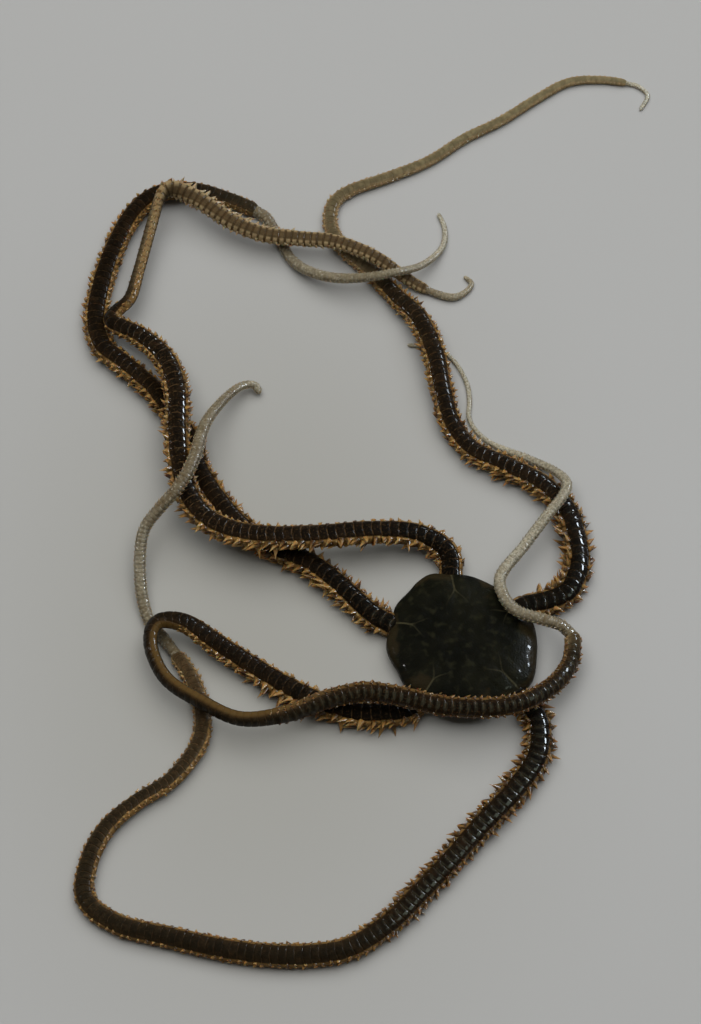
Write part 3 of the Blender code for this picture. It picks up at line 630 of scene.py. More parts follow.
TIPS = {
    "a": [
        (-0.9, 47, 0, 180, 0.9), (0.8, 47.8, 0, 180, 0.7), (1.5, 49, 0, 180, 0.6),
        (0.6, 50, 0, 180, 0.5),
    ],
    "b": [
        (-23.5, 57.6, 0, 5, 1.4), (-22, 54.9, 0, 0, 1.2), (-20.6, 52.1, 0.2, 0, 1.2),
        (-18.4, 50.1, 0.8, 0, 1.2), (-15.2, 48.8, 1.5, 0, 1.2), (-11.6, 48.5, 2.2, 0, 1.1),
        (-7.9, 49, 2.6, 0, 1.0), (-4.5, 50.8, 1.3, 0, 0.85), (-2.1, 53.8, 0.2, 0, 0.7),
        (-1.7, 56.5, 0, 0, 0.6), (-2.5, 58.9, 0, 0, 0.5),
    ],
    "c": [(22.8, 76.9, 0, 0, 0.55), (23.8, 75.6, 0, 0, 0.5), (22.8, 73.6, 0, 0, 0.45)],
    "d": [
        (-35.5, 1.1, 0, 5, 1.3), (-37.1, 3.1, 0, 0, 1.3), (-38.1, 6.4, 0.5, 0, 1.3),
        (-38.4, 10.6, 1.4, 0, 1.3), (-37.9, 13.9, 2.8, 0, 1.3), (-36, 16.1, 4.3, 0, 1.35),
        (-33.8, 18.5, 5.1, 0, 1.4), (-32, 22.3, 5.0, 0, 1.4), (-30.8, 27.7, 3.4, 0, 1.3),
        (-28.8, 31.6, 2.0, 0, 1.1), (-26.7, 34.1, 1.0, 0, 1.0), (-25, 34.6, 0.5, 0, 0.9),
        (-24.3, 33.6, 0.2, 0, 0.8),
    ],
    "e": [
        (11.4, 1.5, 2.7, -10, 1.4), (9.6, 2, 3.0, 0, 1.35), (6.4, 3, 3.3, 0, 1.3),
        (4.8, 5, 3.3, 0, 1.3), (4.5, 7.9, 2.8, 0, 1.3), (7.3, 12, 2.3, 0, 1.25),
        (10, 15.8, 2.5, 0, 1.2), (12, 18.5, 2.6, 0, 1.15), (12.6, 20.6, 2, 0, 1.1),
        (11.3, 22.7, 0.9, 0, 1.0), (8.4, 24.7, 0, 0, 0.95), (5.5, 26, 0, 0, 0.8),
        (3.4, 27.2, 0, 0, 0.6), (1.8, 28.8, 0, 0, 0.55), (1, 30.6, 0, 0, 0.55),
        (1.1, 32.6, 0, 0, 0.55), (0.9, 34.8, 0, 0, 0.55), (-0.1, 37.3, 0, 0, 0.5),
        (-1.5, 39.1, 0, 0, 0.5), (-3.6, 40.1, 0, 0, 0.5), (-6.4, 40.5, 0, 0, 0.45),
    ],
}
SPAN_STEPS = 12

# The segments: their pitch on an arm of the full width, how much longer they are near the
# disc, and the shares of a segment at which its rings stand
SEGMENT = 0.93
LONGER_NEAR_DISC = 0.2
NEAR_DISC = 28.0
THIN_POWER = 0.35
COUNT_STEP = 0.05
PHASES = np.array([0.0, 0.045, 0.11, 0.24, 0.42, 0.60, 0.76, 0.88, 0.955])

# The places round a ring in degrees from the middle of the back, closer at the plates' edges
HALF_RING = [
    0, 10, 20, 30, 40, 47, 52, 56, 60, 66, 74, 83, 92, 102, 113, 124, 136, 146, 151, 155, 161, 170,
]
AROUND = np.array(HALF_RING + [180] + [360 - a for a in HALF_RING[:0:-1]], float)
BACK_EDGE = 54.0
BELLY_EDGE = 153.0

# The powers that make a ring squarish below and round over the back, and by how many degrees
# the plates of the back lie askew
SQUARE = 0.77
ROUND = 0.95
UNEVEN = 3.0
UNEVEN_SEED = 20

# How far the far edge of a back plate bows towards the arm's tip, in segments
BOW = 0.16

# The degrees between which one kind of plate goes over into the next
BACK_BLEND = (51.0, 60.0)
BELLY_BLEND = (148.0, 157.0)

# The relief of the plates on an arm of the full width: how high they arch, how deep the groove
# between two of them is, how far the back lies in, and the furrows along the plates' edges
GROOVE_HALF = 0.055
BACK_ARCH = 0.06
BACK_GROOVE = 0.06
BACK_SUNK = 0.04
FLANK_ARCH = 0.02
FLANK_STAND = 0.10
FLANK_GROOVE = 0.07
BELLY_ARCH = 0.05
BELLY_GROOVE = 0.06
FURROW_DEPTH = 0.04
FURROW_HALF = 4.0

# What changes along an arm, as rows of a length along it and six shares: how far the flank
# plates and spines stand out right and left of the back (in the loop of arm e they are
# pressed flat), how wet it is, how pale, how marked the lines between its plates are, and
# how strong the pale olive ribs beside them, which are partly seams and partly painted sheen
ALONG = {
    "a": [
        (0, 0.9, 0.9, 0.4, 0, 0.5, 0), (14, 0.3, 1.35, 0.25, 0, 0.7, 0),
        (28, 0.4, 1.3, 0.3, 0, 0.9, 0), (36, 0.6, 1.05, 0.5, 0, 1, 0), (44, 0.6, 0.9, 1, 0, 1, 0),
        (52, 0.65, 0.8, 0.9, 0, 1, 0), (60, 0.5, 0.6, 0.8, 0, 0.6, 0),
        (68, 0.4, 0.4, 0.5, 0, 0.3, 0), (73, 0.4, 0.4, 0.05, 0.3, 0.45, 0),
        (82, 0.45, 0.4, 0.2, 0.52, 0.45, 0), (88, 1.2, 0.6, 0.4, 0.9, 0.9, 0),
        (97, 1.2, 0.6, 0.3, 0.85, 0.9, 0), (104, 0.5, 0.5, 0.3, 0.9, 0.9, 0),
        (120, 0.4, 0.35, 0.2, 1, 0.6, 0),
    ],
    "b": [
        (0, 1, 1.05, 1, 0, 0.4, 0.2), (6, 0.9, 1.2, 0.3, 0, 0.5, 0),
        (14, 0.65, 1.3, 0.1, 0, 0.5, 0), (26, 0.7, 1.1, 0.2, 0, 0.55, 0),
        (36, 0.75, 0.85, 0.25, 0, 0.6, 0), (60, 0.6, 0.7, 0.15, 0, 0.35, 0),
        (80, 0.35, 0.4, 0.15, 0, 0.2, 0), (89, 0.2, 0.2, 0.2, 0.1, 0.2, 0),
    ],
    "c": [
        (0, 1.1, 1.2, 0.9, 0, 0.2, 0.2), (10, 0.9, 1.4, 1, 0, 0.3, 0.1),
        (26, 0.7, 1.2, 0.8, 0, 0.5, 0), (34, 0.6, 0.75, 0.3, 0, 0.7, 0),
        (56, 0.6, 0.65, 0.4, 0.03, 0.5, 0), (61, 0.5, 0.5, 0.3, 0.55, 0.4, 0),
        (67, 0.45, 0.45, 0.3, 0.6, 0.3, 0), (78, 0.3, 0.3, 0.05, 0.76, 0.2, 0),
        (90, 0.26, 0.26, 0.05, 0.85, 0.1, 0), (112, 0.22, 0.22, 0.05, 1, 0.1, 0),
    ],
    "d": [
        (0, 1.2, 1.15, 1, 0, 0.25, 0.2), (15, 1.05, 0.95, 1, 0, 0.3, 0.6),
        (35, 0.75, 0.7, 0.9, 0, 0.3, 0.6), (42, 0.35, 0.35, 0.2, 0.03, 0.2, 0),
        (60, 0.32, 0.32, 0.12, 0.03, 0.25, 0), (75, 0.3, 0.3, 0.1, 0.06, 0.3, 0),
        (90, 0.5, 0.5, 0.2, 0.08, 0.6, 0), (103, 0.55, 0.55, 0.3, 0.2, 1, 0),
        (107, 0.6, 0.6, 0.3, 0.27, 1, 0), (111, 0.5, 0.5, 0.2, 0.35, 1, 0),
    ],
    "e": [
        (0, 0.7, 1.3, 0.3, 0, 0.5, 0), (12, 0.6, 1.5, 0.15, 0, 0.5, 0),
        (20, 0.5, 1.3, 0.15, 0, 0.4, 0), (28, 0.3, 0.6, 0.3, 0, 0.3, 0),
        (34, 0.12, 0.12, 0.4, 0.01, 0.3, 0), (54, 0.15, 0.12, 0.3, 0.05, 0.4, 0.2),
        (62, 0.25, 0.35, 0.4, 0.04, 0.8, 0.9), (70, 0.2, 0.42, 0.5, 0, 0.8, 0.9),
        (82, 0.22, 0.45, 0.5, 0, 0.8, 0.8), (90, 0.6, 0.3, 0.6, 0, 0.8, 0.9),
        (97, 0.6, 0.3, 0.6, 0.05, 0.7, 0.8), (99, 0.5, 0.4, 0.4, 0.4, 0.6, 0.3),
    ],
}
RIGHT, LEFT, WETNESS, PALE, MARKED, SEAMS_AND_SHEEN = range(1, 7)

# The last segment of the dark arm ends a little before the regrown tip starts
STUMP_SHORT = 0.1


class Lie:
    """How one arm lies: its middle line, the way its back faces, its width and its height."""

    def __init__(self, name):
        """The smooth route through the points of the dark arm and its tip, whose height follows
        from its width, with one more row in front that lies inside the disc."""
        rows = smooth_route(TRUNKS[name] + TIPS[name], SPAN_STEPS)
        last = SPAN_STEPS * (len(TRUNKS[name]) - 1)
        width = rows[:, 4].copy()
        width[: last + 1] = np.maximum(width[: last + 1], TRUNKS[name][-1][4])
        width[last + 1 : last + 1 + SPAN_STEPS] = TIPS[name][0][4]
        height = width * np.where(np.arange(len(rows)) <= last, TRUNK_HEIGHT, TIP_HEIGHT)
        lift = np.maximum(rows[:, 2], 0)
        rows = np.column_stack([rows[:, :2], lift + height / 2, rows[:, 3], width, height])
        inner = rows[0].copy()
        inner[:2] *= 1 - ROOT_INSIDE / np.hypot(*inner[:2])
        rows = np.vstack([inner, rows])
        step = np.linalg.norm(np.diff(rows[:, :3], axis=0), axis=1)
        self.name = name
        self.along = np.concatenate([[0], np.cumsum(step)]) - step[0]
        self.change = self.along[last + 1]
        self.length = self.along[-1]
        self.rows = rows

    def at(self, s):
        """Read off at the lengths s: middle, side, up, tangent, width and height. The tangent
        runs from half a millimetre before to half after, the side is level and square to it,
        and both side and up are turned by the roll."""
        middle = np.stack([np.interp(s, self.along, c) for c in self.rows.T[:3]], -1)
        roll, width, height = (np.interp(s, self.along, c) for c in self.rows.T[3:])
        before, after = (
            np.stack([np.interp(s + d, self.along, c) for c in self.rows.T[:3]], -1)
            for d in (-0.5, 0.5)
        )
        tangent = after - before
        tangent /= np.linalg.norm(tangent, axis=-1, keepdims=True)
        side = np.cross(tangent, (0, 0, 1))
        side /= np.linalg.norm(side, axis=-1, keepdims=True)
        up = np.cross(side, tangent)
        turn = np.radians(roll)[..., None]
        rolled_up = up * np.cos(turn) - side * np.sin(turn)
        rolled_side = side * np.cos(turn) + up * np.sin(turn)
        return middle, rolled_side, rolled_up, tangent, width, height


def segment_count(lie):
    """The number of segments passed at each of many lengths along an arm: one over the pitch
    summed up, the pitch growing a little towards the disc and shrinking with the width."""
    s = np.arange(-ROOT_INSIDE, lie.length + COUNT_STEP, COUNT_STEP)
    width = lie.at(s)[4]
    near = 1 + LONGER_NEAR_DISC * np.exp(-((np.maximum(s, 0) / NEAR_DISC) ** 2))
    pitch = SEGMENT * near * (width / FULL_WIDTH) ** THIN_POWER
    return s, np.cumsum(COUNT_STEP / pitch)


def segment_span(lie, start, end, share=1):
    """The table from length to segments passed between two lengths, and how many segments
    that is, made a whole number. share is a segment's length beside that of a usual one."""
    s, count = segment_count(lie)
    start, end = np.interp([start, end], s, count)
    segments = round((end - start) / share)
    return s, (count - start) / (end - start) * segments, segments


def trunk_relief(phase, around, stand):
    """How far the skin stands out at a phase along a segment and an angle round it. A back
    plate is nearly flat along the arm and ends in a groove, a flank plate is half a sine
    wave as high as it stands out there, and the underside is two rows of flat plates."""
    groove = np.exp(-((np.minimum(phase, 1 - phase) / GROOVE_HALF) ** 2))
    arch = np.sin(np.pi * phase)
    back = BACK_ARCH * arch**0.15 - BACK_GROOVE * groove - BACK_SUNK
    flank = (FLANK_ARCH + FLANK_STAND * stand) * arch**0.7
    flank = flank - FLANK_GROOVE * groove * (0.3 + 0.7 * stand)
    belly = BELLY_ARCH * arch**0.4 - BELLY_GROOVE * groove
    furrow = sum(
        np.exp(-(((around - edge) / FURROW_HALF) ** 2)) for edge in (BACK_EDGE, BELLY_EDGE)
    )
    on_flank = fade(around, *BACK_BLEND)
    on_belly = fade(around, *BELLY_BLEND)
    ridge = np.sin(np.pi * np.clip((around - BACK_EDGE) / (BELLY_EDGE - BACK_EDGE), 0, 1))
    height = back * (1 - on_flank) + flank * (0.25 + 0.75 * ridge) * on_flank * (1 - on_belly)
    return height + belly * on_belly - FURROW_DEPTH * furrow


def read_along(lie, s, column, table=ALONG):
    """One of the shares of a table at the lengths s."""
    rows = np.array(table[lie.name]).T
    return np.interp(s, rows[0], rows[column])


def standing(lie, s, right):
    """How far plates and spines stand out at the lengths s, on the right where right is true."""
    return np.where(right, read_along(lie, s, RIGHT), read_along(lie, s, LEFT))


def skin_points(place, around, square, proud):
    """Points of a skin: on a rounded box, its half width and height grown by how far the
    skin stands proud, times the sine and cosine of the angle to the power of square."""
    middle, side, up, _, width, height = place
    turn = np.radians(around)
    across = np.sign(np.sin(turn)) * np.abs(np.sin(turn)) ** square
    rise = np.sign(np.cos(turn)) * np.abs(np.cos(turn)) ** square
    wide = across * (width / 2 + proud)
    high = rise * (height / 2 + proud)
    spot = middle + side * wide[..., None] + up * high[..., None]
    spot[..., 2] = np.maximum(spot[..., 2], 0)
    return spot


def close_end(number, segments, over):
    """1 up to the last segments, and over these a quarter circle down to nearly 0."""
    return np.sqrt(1 - np.clip((number - segments + over) / over, 0, 0.97) ** 2)


def strip_place(share, strip, turn, strips):
    """A place on a map of strips that lie side by side with small margins: along its strip by
    the share that is left, and across it by the turn."""
    return 0.01 + 0.98 * (share - strip), (strip + 0.03 + 0.94 * turn) / strips


def strip_chart(rings, round_, strips):
    """A chart that cuts a tube across into strips and lays them side by side."""
    def chart(tube, ring, place):
        share = ring / (rings - 1) * strips
        strip = np.minimum(np.floor(share.mean(axis=1, keepdims=True)), strips - 1)
        return np.stack(strip_place(share, strip, place / round_, strips), -1)
    return chart


def trunk_strips(lie):
    """The strips that make a dark arm's map about square: the root of its length over the
    way round it."""
    return round(math.sqrt((lie.change + ROOT_INSIDE) / (math.pi * FULL_WIDTH)))


def trunk_span(lie):
    """The segments of all of the dark arm."""
    return segment_span(lie, -ROOT_INSIDE, lie.change - STUMP_SHORT)


def trunk_surface(lie):
    """The rings of an arm from inside the disc to where it broke off, each bowed towards the
    tip over its back, and the last one closing in a quarter circle."""
    s, count, segments = trunk_span(lie)
    number = np.append((np.arange(segments)[:, None] + PHASES).reshape(-1), segments)[:, None]
    around = np.minimum(AROUND, 360 - AROUND)[None]
    bow = BOW * (fade(around, BACK_EDGE, 0) - 1) * np.minimum(1, segments - number)
    at = np.interp(number + bow, count, s)
    place = list(lie.at(at))
    size = place[4] / FULL_WIDTH
    close = close_end(number, segments, 1)
    stand = standing(lie, at, AROUND < 180)
    proud = trunk_relief(number % 1, around, stand) * size * close
    place[4] = place[4] * close
    place[5] = place[5] * close
    draw = np.random.default_rng(UNEVEN_SEED + segments)
    lean = draw.normal(0, UNEVEN, segments + 1)[np.floor(number).astype(int)]
    lean = lean * np.sin(np.pi * (number % 1)) ** 0.3 * fade(around, 90, 20)
    square = SQUARE + (ROUND - SQUARE) * fade(around, 100, 50)
    fields = {
        "segment": number,
        "around": around / 180,
        "stand": stand,
        "wetness": read_along(lie, at, WETNESS),
        "pale": read_along(lie, at, PALE),
        "marked": read_along(lie, at, MARKED),
        "seams_and_sheen": read_along(lie, at, SEAMS_AND_SHEEN),
    }
    return skin_points(place, AROUND[None] + lean, square, proud), fields


# How far the lines wander, in segments, and the shares of half a turn between which the back
# and the belly end in their masks
LINE_WANDER = 0.16
BACK_MASK = (0.265, 0.335)
BELLY_MASK = (0.60, 0.72)


def segment_marks_recipe(tree, segment, around, line_width):
    """From the running number of the segment and the share of half a turn from the back's
    middle: the masks of the thin line between two plates, of the back and of the belly, and
    a tone that differs by segment. Noise makes the lines wander."""
    wander = (mottle(tree, 1400) - 0.5) * LINE_WANDER
    phase = (segment + wander).work("FRACT")
    near = phase.work("MINIMUM", phase * -1 + 1)
    line = near.rise(line_width * 0.35, line_width, 1, 0)
    round_ = around + wander * 0.2
    whole = {"W": segment.work("FLOOR")}
    tone = add_node(tree, "ShaderNodeTexWhiteNoise", "Value", whole, noise_dimensions="1D")
    return line, round_.rise(*BACK_MASK, 1, 0), round_.rise(*BELLY_MASK), tone


SEGMENT_MARKS = make_group(
    "segment marks", ("Segment", "Around", "Line Width"), ("Line", "Back", "Belly", "Tone"),
    segment_marks_recipe,
)


def segment_marks(tree, line_width):
    """The segment marks group placed in a material, reading the skin's own fields."""
    fields = (read_field(tree, "segment"), read_field(tree, "around"))
    return use_group(tree, SEGMENT_MARKS, *fields, line_width)


# The widths of a line, a pale olive rib with painted sheen and a dark band between two plates, in
# segments
LINE = 0.10
RIB = 0.36
BAND = 0.28

BASE_BLACK = (0.0012, 0.0012, 0.0008)
BACK_BLACK = (0.0048, 0.0032, 0.0016)
BACK_BROWN = (0.034, 0.018, 0.007)
LINE_BROWN = (0.092, 0.053, 0.022)
FLANK_AMBER = (0.265, 0.152, 0.048)
FLANK_BROWN = (0.070, 0.037, 0.012)
# The pale streaks on the flanks are painted highlights.
FLANK_HIGHLIGHT = (0.44, 0.33, 0.15)
FLANK_OLIVE = (0.086, 0.049, 0.012)
BELLY_BROWN = (0.0150, 0.0110, 0.0060)
# The grey of the belly's middle row is painted sheen of wet plates.
BELLY_SHEEN_GREY = (0.0120, 0.0110, 0.0080)
# The pale olive of the ribs on the back is partly painted sheen of the wet plates.
SEAM_AND_SHEEN_OLIVE = (0.054, 0.052, 0.034)
BELLY_OLIVE = (0.070, 0.056, 0.027)
OUTER_TAN = (0.410, 0.305, 0.162)
OUTER_OLIVE = (0.205, 0.178, 0.098)
OUTER_BROWN = (0.170, 0.104, 0.045)
OUTER_DARK = (0.070, 0.042, 0.017)


def back_colour(tree, cloud, line, tone):
    """Black plates that turn brown towards the flanks, darker by the disc, with flecks, thin
    brown lines and pale olive ribs by the place, which are partly seams and partly painted sheen."""
    around = read_field(tree, "around")
    marked = read_field(tree, "marked")
    brown = (cloud * tone + around.rise(0.08, 0.30, 0.10, 0.8)) * 0.5
    colour = brown.mix(BACK_BLACK, BACK_BROWN)
    # Darker over the first segments by the disc.
    by_disc = read_field(tree, "segment").rise(8, 26, 0.75, 0)
    colour = by_disc.mix(colour, BASE_BLACK)
    fleck = mottle(tree, 4200).rise(0.54, 0.72, 0, 0.5) * marked
    colour = line.mix(fleck.mix(colour, LINE_BROWN), LINE_BROWN)
    # Pale olive ribs between the plates: lighter seams with painted sheen of the wet back on them.
    ribs = segment_marks(tree, RIB)[0] * read_field(tree, "seams_and_sheen")
    ribs = ribs * mottle(tree, 2000).rise(0.35, 0.60, 0.35) * around.rise(0.08, 0.20, 0.8, 0)
    return ribs.mix(colour, SEAM_AND_SHEEN_OLIVE)


def flank_colour(tree, cloud, line):
    """Amber with brown clouds and pale streaks of painted highlight where the plates stand out,
    and olive brown where they are pressed flat, darkened by painted shade towards both edges.
    Along the ribbed lengths the flank is browner."""
    stand = read_field(tree, "stand")
    colour = (cloud * stand.rise(0, 1, 0.35)).mix(FLANK_AMBER, FLANK_BROWN)
    # Pale streaks of painted highlight where the plates stand out.
    highlight_streak = mottle(tree, 2600, 1).rise(0.56, 0.70, 0, 0.75)
    colour = (highlight_streak * stand).mix(colour, FLANK_HIGHLIGHT)
    # Where the plates are pressed flat, painted shade darkens the olive band towards both edges.
    edge = abs(read_field(tree, "around") - 0.53).rise(0.05, 0.24, 0, 0.9)
    colour = stand.rise(0.5, 0.15, 0, 0.9).mix(colour, edge.mix(FLANK_OLIVE, BACK_BROWN))
    colour = (read_field(tree, "seams_and_sheen") * 0.6).mix(colour, BACK_BROWN)
    return (line * stand.rise(0.1, 1, 0.25, 0.8)).mix(colour, FLANK_BROWN)


def belly_colour(tree, line):
    """Dark with a row of plates greyed by painted sheen, and olive lines between them and beside
    the row.
    """
    around = read_field(tree, "around")
    # A grey row of painted sheen down the belly's middle.
    colour = around.rise(0.835, 0.86).mix(BELLY_BROWN, BELLY_SHEEN_GREY)
    seam = line.work("MAXIMUM", abs(around - 0.85).rise(0.012, 0.03, 0.7, 0))
    return seam.mix(colour, BELLY_OLIVE)


def outer_colour(tree):
    """The tan of the pale lengths, olive or brown over the back, with dark bands and a dark
    underside."""
    around = read_field(tree, "around")
    marked = read_field(tree, "marked")
    back = marked.mix(OUTER_OLIVE, OUTER_BROWN)
    colour = around.rise(0.30, 0.10, 0.15, 0.9).mix(OUTER_TAN, back)
    colour = around.rise(0.76, 0.90, 0, 0.85).mix(colour, OUTER_DARK)
    bands = segment_marks(tree, BAND)[0] * around.rise(0.2, 0.45, 0.3, 0.95)
    return (bands * marked.rise(0.2, 0.8, 0.3)).mix(colour, OUTER_DARK)


def make_trunk_material():
    """The colours of back, flank and belly, each inside its own mask, and over them the colour
    of the pale lengths."""
    material, tree = new_material("dark arm")
    line, back, belly, tone = segment_marks(tree, LINE)
    cloud = mottle(tree, 1300, 3).rise(0.35, 0.72)
    faint = line * (mottle(tree, 1700).rise(0.38, 0.60, 0.1) * read_field(tree, "marked"))
    colour = back.mix(flank_colour(tree, cloud, line), back_colour(tree, cloud, faint, tone))
    colour = belly.mix(colour, belly_colour(tree, faint))
    pale = read_field(tree, "pale") * cloud.rise(0.1, 0.9, 0.8, 1.15)
    wet = mottle(tree, 1500).rise(0.42, 0.56, 0.1) * read_field(tree, "wetness")
    set_wet(
        material, pale.mix(colour, outer_colour(tree)), 5200, (0.45, 0.65), (0.4, 0.00008),
        Specular_IOR_Level=0.04, Coat_Weight=wet, Coat_Roughness=0.05, Coat_IOR=1.45,
        Subsurface_Weight=0.06, Subsurface_Scale=0.0005,
    )
    return material


LIES = {name: Lie(name) for name in TRUNKS}
trunk_material = make_trunk_material()
for name, lie in LIES.items():
    points, fields = trunk_surface(lie)
    chart = strip_chart(*points.shape[:2], trunk_strips(lie))
    skin = build_tubes(f"arm_{name}_skin", points, fields, chart, trunk_material)
    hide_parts(*(node for node in NODES if node.startswith(f"arm_{name}_trunk_")))

# The spines of the arms
#
# Each flank plate carries three short thorns of clear amber horn on its far edge, one over
# another. They lean towards the arm's tip, and wet ones cling together. They are jointed to
# the plate by a bead, so their roots are sunk into the skin here.

SPINE_LENGTH = 1.25
SPINE_ROOT = (0.34, 0.165)
SPINE_TAPER = 1.15
SPINE_POWER = 0.8
SPINE_POINT = 0.02
SPINE_RINGS = np.array([0.0, 0.12, 0.3, 0.55, 0.8])
SPINE_SIDES = 6

# The spines of a plate: degrees round from the middle of the back, degrees raised, and length.
# Plates stand on the right and on the left.
SPINE_ROWS = np.array([(60, 38, 0.8), (80, 12, 1.0), (102, -12, 0.85)])
HANDS = np.array([1.0, -1.0])[:, None]
SPINE_PHASE = 0.72
SPINE_SUNK = 0.12
SPINE_LEAN = 24

# Spines of plates that stand out little lie limp along the arm, and some plates' spines cling
LIMP_STAND = (0.55, 0.15)
LIMP_LEAN = 45
CLING = 0.9
CLING_CHANCE = (0.3, 0.7)

# How much spines differ at random: in segments along the arm, in degrees round it, raised and
# leant, in the share of their length that they have, and in how far their ends are shifted
# along the arm, which is a part of that length
SPINE_VARY = {
    "along": (-0.22, 0.22), "around": (-7, 7), "raised": (-18, 18), "lean": (-40, 34),
    "length": (0.4, 1.2), "shift": (-0.3, 1.3),
}
SPINE_SHIFT = 0.12

# No spines in the mouth, at the broken end or where the plates are pressed flat
SPINES_FROM = 1.2
SPINES_END = 1.0
LEAST_STAND = 0.2

# How far spines stay off other things and the floor, and how near its root an arm's own
# skin is no other thing
SPINE_CLEAR = 0.08
FLOOR_CLEAR = 0.03
OWN_LENGTH = 3.0
SAMPLE_STEP = 0.4

PATCH = 0.003
SPINE_SEED = 40
TONE_SEED = 80

# Spines are duller beside the pale ribs, which are partly painted sheen
DULL_BY_RIBS = 1.3
DULL_MOST = 0.6


def arm_samples():
    """Points along every arm with the arm's number, the length along it and its half width."""
    found = []
    for number, lie in enumerate(LIES.values()):
        s = np.arange(0, lie.length, SAMPLE_STEP)
        middle, _, _, _, width, height = lie.at(s)
        found.append(np.column_stack([s * 0 + number, s, middle, np.maximum(width, height) / 2]))
    return np.vstack(found)


SAMPLES = arm_samples()


def is_free(number, s, spots):
    """For each spine, whether its spots stay clear of the disc and of every other length of
    arm, by the distance from each sample less that sample's half width."""
    near = np.abs(SAMPLES[:, 1] - s[:, None]) < OWN_LENGTH
    own = (SAMPLES[:, 0] == number) & near
    free = np.ones(len(s), bool)
    for spot in spots:
        away = np.linalg.norm(spot[:, None] - SAMPLES[None, :, 2:5], axis=-1) - SAMPLES[:, 5]
        free &= np.where(own, np.inf, away).min(axis=1) > SPINE_CLEAR
        angle = np.degrees(np.arctan2(spot[:, 1], spot[:, 0]))
        beyond = np.hypot(spot[:, 0], spot[:, 1]) > disc_edge(angle) + SPINE_CLEAR
        free &= beyond | (spot[:, 2] > DISC_TOP + SPINE_CLEAR)
    return free


def thorns(base, half, tip, tangent, size, root):
    """Tubes of six sides along the curves with the handles base, half and tip. Each narrows
    by a power of the share of its length that is left, and is wider along the arm than
    across, by the two numbers of root times its size."""
    axis = tip - base
    axis /= np.linalg.norm(axis, axis=-1, keepdims=True)
    wide = tangent - axis * (tangent * axis).sum(axis=-1, keepdims=True)
    wide /= np.linalg.norm(wide, axis=-1, keepdims=True)
    flat = np.cross(axis, wide)
    t = SPINE_RINGS[None, :, None]
    line = (1 - t) ** 2 * base[:, None] + 2 * t * (1 - t) * half[:, None] + t**2 * tip[:, None]
    turn = np.linspace(0, 2 * np.pi, SPINE_SIDES, endpoint=False)
    narrow = ((1 - SPINE_RINGS) ** SPINE_TAPER)[None, :, None] * size[:, None, None]
    rim = wide[:, None, None] * (root[0] * narrow * np.cos(turn))[..., None]
    rim = rim + flat[:, None, None] * (root[1] * narrow * np.sin(turn))[..., None]
    points = line[:, :, None] + rim
    end = tip[:, None, None] + SPINE_POINT * rim[:, :1]
    points = np.concatenate([points, end], axis=1)
    points[..., 2] = np.maximum(points[..., 2], FLOOR_CLEAR)
    return points


def vary_spines(draw, ranges, span, rows):
    """Random numbers for every spine, drawn from each range in turn, with an axis each for the
    segment, the side and the row, and the length along the arm at which each spine stands."""
    s, count, segments = span
    shape = (segments, 2, len(rows))
    vary = {key: draw.uniform(low, high, shape) for key, (low, high) in ranges.items()}
    number = np.arange(segments)[:, None, None] + SPINE_PHASE + vary["along"]
    return vary, np.interp(number, count, s)


def spine_way(place, raised, lean):
    """The way that spines point: out to the side, raised by one angle in degrees and turned
    towards the arm's tip by another."""
    _, side, up, tangent, _, _ = place
    raised = np.radians(raised)[..., None]
    lean = np.radians(lean)[..., None]
    out = side * (HANDS[..., None] * np.cos(raised)) + up * np.sin(raised)
    return out * np.cos(lean) + tangent * np.sin(lean)


def free_thorns(number, keep, parts, root):
    """The kept spines that stay clear of everything, as tubes, with the length along the arm
    and the angle round it of each."""
    parts = [grid[keep] for grid in parts]
    free = is_free(number, parts[5], parts[1:3])
    *shape, at, around = (grid[free] for grid in parts)
    return thorns(*shape, root), at, around


def grow_spines(number, lie):
    """The spines of one arm as tubes. Each bends along the curve whose three handles are its
    root, half way out along its own direction, and its end. They are raised by as much as
    the arm's back faces up, and one plate's three ends are drawn together by a random share."""
    draw = np.random.default_rng(SPINE_SEED + number)
    vary, at = vary_spines(draw, SPINE_VARY, trunk_span(lie), SPINE_ROWS)
    place = lie.at(at)
    _, _, up, tangent, width, _ = place
    size = width / FULL_WIDTH
    stand = standing(lie, at, HANDS > 0)
    around = HANDS * (SPINE_ROWS[:, 0] + vary["around"])
    raised = SPINE_ROWS[:, 1] * np.clip(3 * up[..., 2], -1, 1) + vary["raised"]
    lean = SPINE_LEAN + LIMP_LEAN * fade(stand, *LIMP_STAND) + vary["lean"]
    way = spine_way(place, raised, lean)
    length = SPINE_LENGTH * stand * size**SPINE_POWER * SPINE_ROWS[:, 2] * vary["length"]
    root = skin_points(place, around, SQUARE, 0)
    tip = root + way * length[..., None]
    tip = tip + tangent * (SPINE_SHIFT * length * vary["shift"])[..., None]
    cling = CLING * fade(draw.uniform(0, 1, (len(at), 2, 1, 1)), *CLING_CHANCE)
    tip = tip + (tip.mean(axis=2, keepdims=True) - tip) * cling
    base = root - way * (SPINE_SUNK * size)[..., None]
    half = root + way * (length * 0.5)[..., None]
    size = size**SPINE_POWER * (0.8 + 0.4 * stand)
    keep = (at > SPINES_FROM) & (at < lie.change - SPINES_END) & (stand > LEAST_STAND)
    return free_thorns(number, keep, (base, half, tip, tangent, size, at, around), SPINE_ROOT)


def spine_chart(place, around, strips):
    """Each spine is a patch on the strips of the arm's skin, at the place of its root."""
    share = np.clip(place, 0, 0.9999) * strips
    u_root, v_root = strip_place(share, np.floor(share), (around % 360) / 360, strips)

    def chart(tube, ring, place):
        u = u_root[tube] + PATCH * (place / SPINE_SIDES - 0.5)
        v = v_root[tube] + PATCH * (ring / len(SPINE_RINGS) - 0.5)
        return np.stack(np.broadcast_arrays(u, v), -1)
    return chart


SPINE_AMBER = (0.38, 0.215, 0.058)
SPINE_BROWN = (0.062, 0.030, 0.007)
SPINE_STRAW = (0.56, 0.41, 0.175)


